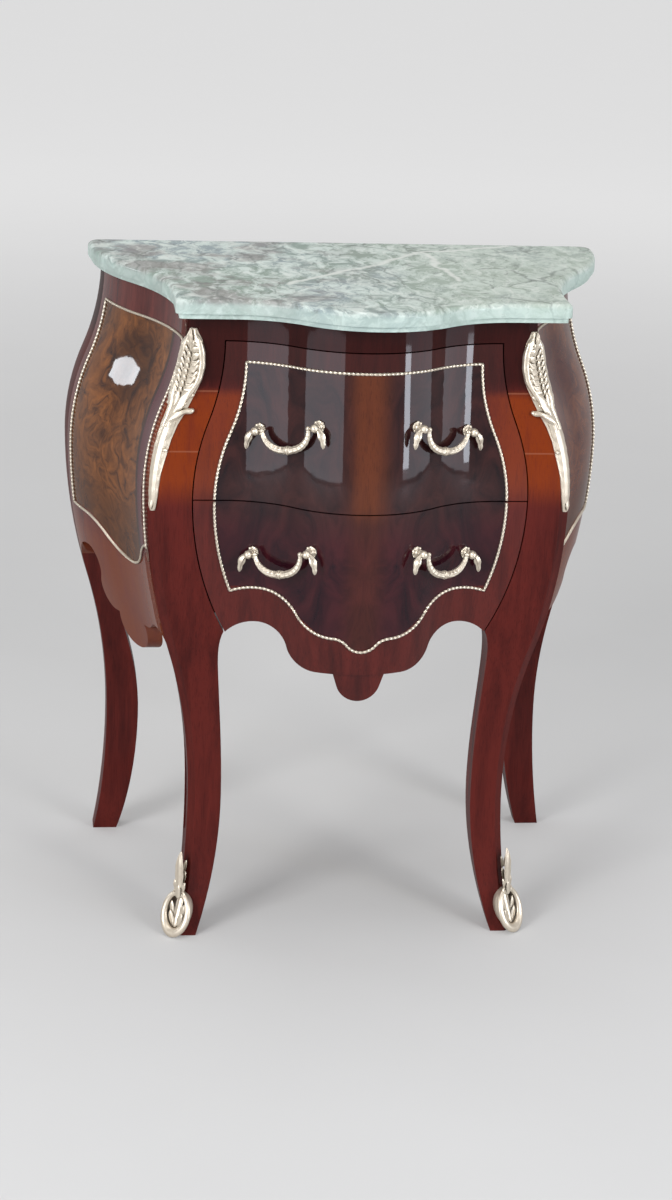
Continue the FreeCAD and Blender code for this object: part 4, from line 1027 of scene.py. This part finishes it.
def makeDrawerWood():
    material, shader, where = newMaterial("drawerVeneer")
    x, y, z = placeOf(where)
    across = abs(x)
    # a dark figure matched about the middle, a little more purple on the lower drawer
    folded = Wire(addNode(where.tree, "CombineXYZ", {0: across, 2: z}).outputs[0])
    upper = z.step(500, 560)
    dark = upper.mix(wood["lowerPanelDark"], wood["panelDark"])
    light = upper.mix(wood["lowerPanelLight"], wood["panelLight"])
    field, height = figured(burlGroup, turned(folded, scale=(mm, mm, 0.55 * mm)), dark, light, Size=9.0)
    centre = grain(where, "legDark", "centre", 60.0, 0.7)[0]
    middle = (1 - across.step(4, 34)) * (z.step(530, 560) * 0.5 + 0.25)
    # straight wood outside the trim
    border = grain(where, "legDark", "legLight", 70.0, 0.5)[0]
    warmBorder = grain(where, "legLight", "glow", 55.0, 0.6)[0]
    # darker towards the top: a darker veneer, and painted shade under the overhanging marble
    edging = (z.step(*veneer["darkAndShadeFrom"]) * 0.6).mix(border, wood["darkTopVeneerAndShade"])
    edging = (warmBand(y, z) * across.step(100, 140) * 0.6).mix(edging, warmBorder)
    face = trimMask(across, z).mix(edging, middle.mix(field, centre))
    raw = grain(turned(where, (0, math.pi / 2, 0)), "rawDark", "rawLight")[0]
    frenchPolish(shader, face, raw, normalOf(where.tree)[1].over(0.25), height)
    return material


def makeSideWood():
    material, shader, where = newMaterial("sideVeneer")
    x, y, z = placeOf(where)
    flat = turned(where, scale=(0, 1, 1))
    swirls, height = figured(burlGroup, flat, wood["burlDark"], wood["burlLight"], Size=12.0)
    # inside the twisted line
    front, back = rope["sideFront"], rope["sideBack"]
    inWidth = 1 - abs(y - (front + back) / 2).step((back - front) / 2 - 0.2, (back - front) / 2 + 0.2)
    overFoot = z.over(abs(y).step(0, 92) * 37 + rope["sidePoint"][1])
    inside = inWidth * (1 - z.step(rope["sideTop"] - 0.4, rope["sideTop"] + 0.4)) * overFoot
    # a ragged dark ring in the upper half, a painted dark reflection round the spot where the side window is
    # mirrored, and darker wood towards the line
    toRing = y - veneer["eye"][0], z - veneer["eye"][1]
    ring = (toRing[0] * toRing[0] + toRing[1] * toRing[1]).math("SQRT") + height * 30
    paintedRing = (1 - ring.step(*veneer["reflectionRingEdge"])) * 0.65
    field = paintedRing.mix(swirls, wood["darkReflectionAndEdge"])
    field = (x.over(0.0) * 0.5).mix(field, wood["strip"])
    ovalY = (y - veneer["ovalMiddle"][0]) / veneer["ovalReach"][0]
    ovalZ = (z - veneer["ovalMiddle"][1]) / veneer["ovalReach"][1]
    oval = (ovalY * ovalY + ovalZ * ovalZ).math("SQRT") + height * 0.5 - 0.25
    field = (oval.step(0.85, 1.5) * 0.6).mix(field, wood["burlDark"])
    # a plain strip with a dark edge along the front
    edge = veneer["stripEdge"]
    field = (1 - y.step(edge - 0.5, edge + 0.5)).mix(field, wood["strip"])
    field = ((1 - abs(y - edge).step(1.5, 6)) * 0.85).mix(field, wood["darkReflectionAndEdge"])
    # outside the line, warmer at the foot
    border = grain(where, "borderDark", "borderLight", 60.0, 0.5)[0]
    apron = grain(where, "borderLight", "apronGlow", 50.0, 0.6)[0]
    face = inside.mix(border, field)
    face = ((1 - overFoot) * (1 - z.step(*veneer["apronFrom"])) * 0.85).mix(face, apron)
    raw = grain(where, "rawDark", "rawLight")[0]
    bare = (normalOf(where.tree)[0] * x.math("SIGN")).under(-0.3)
    frenchPolish(shader, face, raw, bare, height)
    return material


def makeRawWood():
    material, shader, where = newMaterial("carcassWood")
    # the grain runs front to back, and from side to side on the faces of the back and the rails
    along, height = grain(turned(where, (math.pi / 2, 0, 0)), "rawDark", "rawLight")
    across = grain(turned(where, (0, math.pi / 2, 0)), "rawDark", "rawLight")[0]
    colour = abs(normalOf(where.tree)[1]).over(0.7).mix(along, across)
    dress(shader, {"Base Color": colour, "Roughness": 0.62}, height, 0.2, 0.0005)
    return material


marble = {
    "green": (0.23, 0.29, 0.245), "blue": (0.25, 0.3, 0.31), "pale": (0.54, 0.61, 0.57),
    "brown": (0.2, 0.17, 0.165), "vein": (0.62, 0.64, 0.6), "dark": (0.1, 0.115, 0.105),
    # the edge colour is a painted sheen on the moulded edge
    "edge": (0.44, 0.55, 0.5), "calm": (0.42, 0.47, 0.4),
    "streakTurn": (0, 0, -0.45), "streakStretch": (1.0, 0.52, 1),
    "roughness": 0.22, "coat": 0.28, "coatRoughness": 0.08,
    # the long white vein and its branch, from and to, in mm
    "veins": (((-80, -60), (100, 150)), ((100, 150), (212, 208)), ((104, 152), (118, -30))),
}


def segmentDistance(vector, a, b):
    # how far a place on the slab is from the straight line between two places on it
    a, b = (Vector((*place, 0)) * mm for place in (a, b))
    along = (b - a).normalized()
    away = vectorNode("SUBTRACT", vector, tuple(a))
    onto = vectorNode("DOT_PRODUCT", away, tuple(along), output="Value").largest(0.0).smallest((b - a).length)
    return vectorNode("DISTANCE", away, vectorNode("SCALE", tuple(along), scale=onto), output="Value")


def crackle(vector, scale, width):
    cells = addNode(vector.tree, "TexVoronoi", {"Vector": vector, "Scale": scale, "Randomness": 1.0},
                    feature="DISTANCE_TO_EDGE")
    return 1 - Wire(cells.outputs["Distance"]).step(0.0, width)


def makeMarble():
    material, shader, where = newMaterial("greenMarble")
    x, z = placeOf(where)[::2]
    moved = warped(where, 14.0, 0.05, 5.0, 0.6)
    streaked = turned(moved, marble["streakTurn"], marble["streakStretch"])
    mottle = noise(streaked, 46.0, 10.0, 0.72, 0.7)
    green = noise(streaked, 5.0, 4.0, 0.6).step(0.42, 0.58).mix(marble["green"], marble["blue"])
    base = mottle.step(0.4, 0.6).mix(green, marble["pale"])
    # brownish clouds on the left half, and a smoother, greener right half
    cloud = noise(moved, 11.0, 6.0, 0.65)
    brown = cloud.step(0.45, 0.6) * ((1 - x.step(-120, 60)) * 0.6 + 0.06)
    base = brown.mix(base, marble["brown"])
    base = (x.step(-20, 160) * 0.5).mix(base, marble["calm"])
    # fine veins and specks
    base = (crackle(streaked, 30.0, 0.09) * mottle.step(0.42, 0.6) * 0.45).mix(base, marble["vein"])
    base = (crackle(streaked, 17.0, 0.05) * cloud.step(0.44, 0.56) * 0.5).mix(base, marble["dark"])
    base = (noise(streaked, 130.0, 4.0, 0.7).step(0.56, 0.7) * 0.5).mix(base, marble["dark"])
    bent = vectorNode("SUBTRACT", warped(where, 22.0, 0.035, 4.0), (0.0175, 0.0175, 0.0175))
    level = vectorNode("MULTIPLY", bent, (1, 1, 0))
    first, second, third = (segmentDistance(level, a, b) for a, b in marble["veins"])
    vein = 1 - first.smallest(second).smallest(third).step(0.001, 0.006)
    base = (vein * 0.8).mix(base, marble["vein"])
    base = ((1 - z.step(772, 779)) * 0.55).mix(base, marble["edge"])  # the moulded edge is painted paler, a painted sheen
    dress(shader, {"Base Color": base, "Roughness": marble["roughness"], "Specular IOR Level": 0.0,
                   "Coat Weight": marble["coat"], "Coat Roughness": marble["coatRoughness"]})
    return material


# the darker gilt colour is painted shade in the hollows, and partly worn gilt
gilt = {"bright": (0.61, 0.535, 0.43), "hollowShadeAndWear": (0.19, 0.145, 0.095)}


def makeGilt():
    material, shader, where = newMaterial("giltMetal")
    worn = noise(where, 240.0, 4.0, 0.6)
    # painted shade: the gilt turns darker in its hollows, found by the ambient occlusion node, and a little
    # darker where the wear noise is low
    hollows = addNode(where.tree, "AmbientOcclusion", {"Distance": 0.004}, samples=8, only_local=True)
    bright = (Wire(hollows.outputs["AO"]).step(0.35, 0.95) * (worn * 0.5 + 0.72)).smallest(1.0)
    dress(shader, {"Base Color": bright.mix(gilt["hollowShadeAndWear"], gilt["bright"]), "Metallic": 0.65,
                   "Roughness": worn * 0.2 + 0.24}, worn, 0.25, 0.0004)
    return material


def makeSteel():
    material, shader, where = newMaterial("boltSteel")
    scratch = noise(where, 600.0, 3.0)
    dress(shader, {"Base Color": scratch.mix((0.3, 0.28, 0.25), (0.6, 0.58, 0.54)), "Metallic": 0.9,
                   "Roughness": scratch * 0.25 + 0.3})
    return material


finish = {
    "leg": makeLegWood(), "drawer": makeDrawerWood(), "side": makeSideWood(), "raw": makeRawWood(),
    "marble": makeMarble(), "gilt": makeGilt(), "steel": makeSteel(),
}
print("finishes made:", len(finish))
# the first finish with a word that is in the node's name
finishWords = {
    "marble": ("marble",), "leg": ("_leg_", "frieze_rail"), "side": ("side_panel",),
    "drawer": ("drawer_front", "pendant"), "steel": ("nuts",),
    "gilt": ("bail", "posts", "trim", "mount", "sabot"), "raw": ("",),
}


def paint(piece, material):
    piece.data.materials.clear()
    piece.data.materials.append(material)


for name, node in nodes.items():
    chosen = next(key for key, words in finishWords.items() if any(word in name for word in words))
    paint(node, finish[chosen])
for piece in gildedPieces:
    paint(piece, finish["gilt"])


# floor, light and camera

studio = {
    "floorNear": (0.42, 0.417, 0.413), "floorFar": (0.45, 0.447, 0.443), "nearGlow": 0.16, "farGlow": 0.42,
    "world": (0.9, 0.9, 0.92), "worldLight": 0.24, "backdrop": 0.76, "daylight": (0.84, 0.9, 1.0),
    "cameraPlace": (-343.457, -2882.874, 1328.494), "yaw": 0.115915, "pitch": 0.31581, "roll": 0.03564,
    "focalPixels": 2506.087, "photoTall": 1200, "sensorTall": 36, "floorSize": 60,
}


def seenRays(tree):  # 1 for what the camera sees, directly, mirrored or through glass
    rays = addNode(tree, "LightPath", {}).outputs
    kinds = ("Camera", "Glossy", "Transmission")
    direct, mirrored, through = (Wire(rays["Is " + kind + " Ray"]) for kind in kinds)
    return direct.largest(mirrored).largest(through)


floor = added(bpy.ops.mesh.primitive_plane_add, size=studio["floorSize"], location=(0, 0, 0))
floor.name = "floor"
floorMaterial, shader, where = newMaterial("paleFloor")
# the floor glows a little for the camera, more so far off
glow = vectorNode("LENGTH", where, output="Value").step(0.9, 6.0) * studio["farGlow"] + studio["nearGlow"]
dress(shader, {
    "Base Color": noise(where, 3.0, 4.0).mix(studio["floorNear"], studio["floorFar"]), "Roughness": 0.9,
    "Emission Color": (1, 1, 1), "Emission Strength": seenRays(where.tree) * glow,
})
paint(floor, floorMaterial)

# name, place, what it faces, width, height, watts, colour
lamps = (
    ("windowLeft", (-2.9, -3.0, 2.4), (0, 0, 0.5), 1.5, 2.0, 122, (1, 1, 1)),
    ("windowRight", (2.5, -3.4, 2.3), (0, 0, 0.5), 0.9, 1.8, 66, (1, 1, 1)),
    ("overhead", (0, 0.2, 4.2), (0, 0, 0.5), 3.4, 3.0, 88, (1, 1, 1)),
    # low windows that the polished drawers and the side mirror
    ("lowLeft", (-2.45, -2.7, 0.8), (0, 0, 0.65), 2.9, 1.5, 46, studio["daylight"]),
    ("lowRight", (3.1, -1.7, 0.8), (0, 0, 0.65), 2.2, 1.5, 30, studio["daylight"]),
    ("lowRightPane", (2.55, -2.35, 0.85), (0, 0, 0.65), 0.4, 1.3, 26, studio["daylight"]),
    ("sideWindow", (-3.53, 1.8, 1.17), (-0.28, 0.04, 0.66), 0.7, 0.24, 9, (0.9, 0.95, 1.0)),
)
for name, place, target, width, height, watts, colour in lamps:
    lamp = bpy.data.lights.new(name, "AREA")
    lamp.shape = "RECTANGLE"
    lamp.size = width
    lamp.size_y = height
    lamp.energy = watts
    lamp.color = colour
    holder = bpy.data.objects.new(name, lamp)
    bpy.context.collection.objects.link(holder)
    holder.location = place
    holder.rotation_euler = (Vector(target) - Vector(place)).to_track_quat("-Z", "Y").to_euler()

world = bpy.data.worlds.new("studioWorld")
bpy.context.scene.world = world
world.use_nodes = True
backdrop = world.node_tree.nodes["Background"]
# as pale as the far floor where it is seen, but it lights the object less than that
extra = studio["backdrop"] - studio["worldLight"]
feed(backdrop.inputs["Color"], studio["world"])
feed(backdrop.inputs["Strength"], seenRays(world.node_tree) * extra + studio["worldLight"])

yaw, pitch, roll = studio["yaw"], studio["pitch"], studio["roll"]
ahead = Vector((math.sin(yaw) * math.cos(pitch), math.cos(yaw) * math.cos(pitch), -math.sin(pitch)))
right = Vector((math.cos(yaw), -math.sin(yaw), 0))
up = right.cross(ahead)
tiltedRight = right * math.cos(roll) + up * math.sin(roll)
tiltedUp = up * math.cos(roll) - right * math.sin(roll)
cameraData = bpy.data.cameras.new("photoCamera")
camera = bpy.data.objects.new("photoCamera", cameraData)
bpy.context.collection.objects.link(camera)
cameraData.sensor_fit = "VERTICAL"
cameraData.sensor_height = studio["sensorTall"]
cameraData.lens = studio["focalPixels"] / studio["photoTall"] * studio["sensorTall"]
cameraData.clip_end = 100
turn = Matrix((tiltedRight, tiltedUp, -ahead)).transposed()
camera.matrix_world = Matrix.Translation(Vector(studio["cameraPlace"]) * mm) @ turn.to_4x4()
bpy.context.scene.camera = camera
bpy.context.scene.view_settings.view_transform = "Standard"
print("floor, light and camera placed")
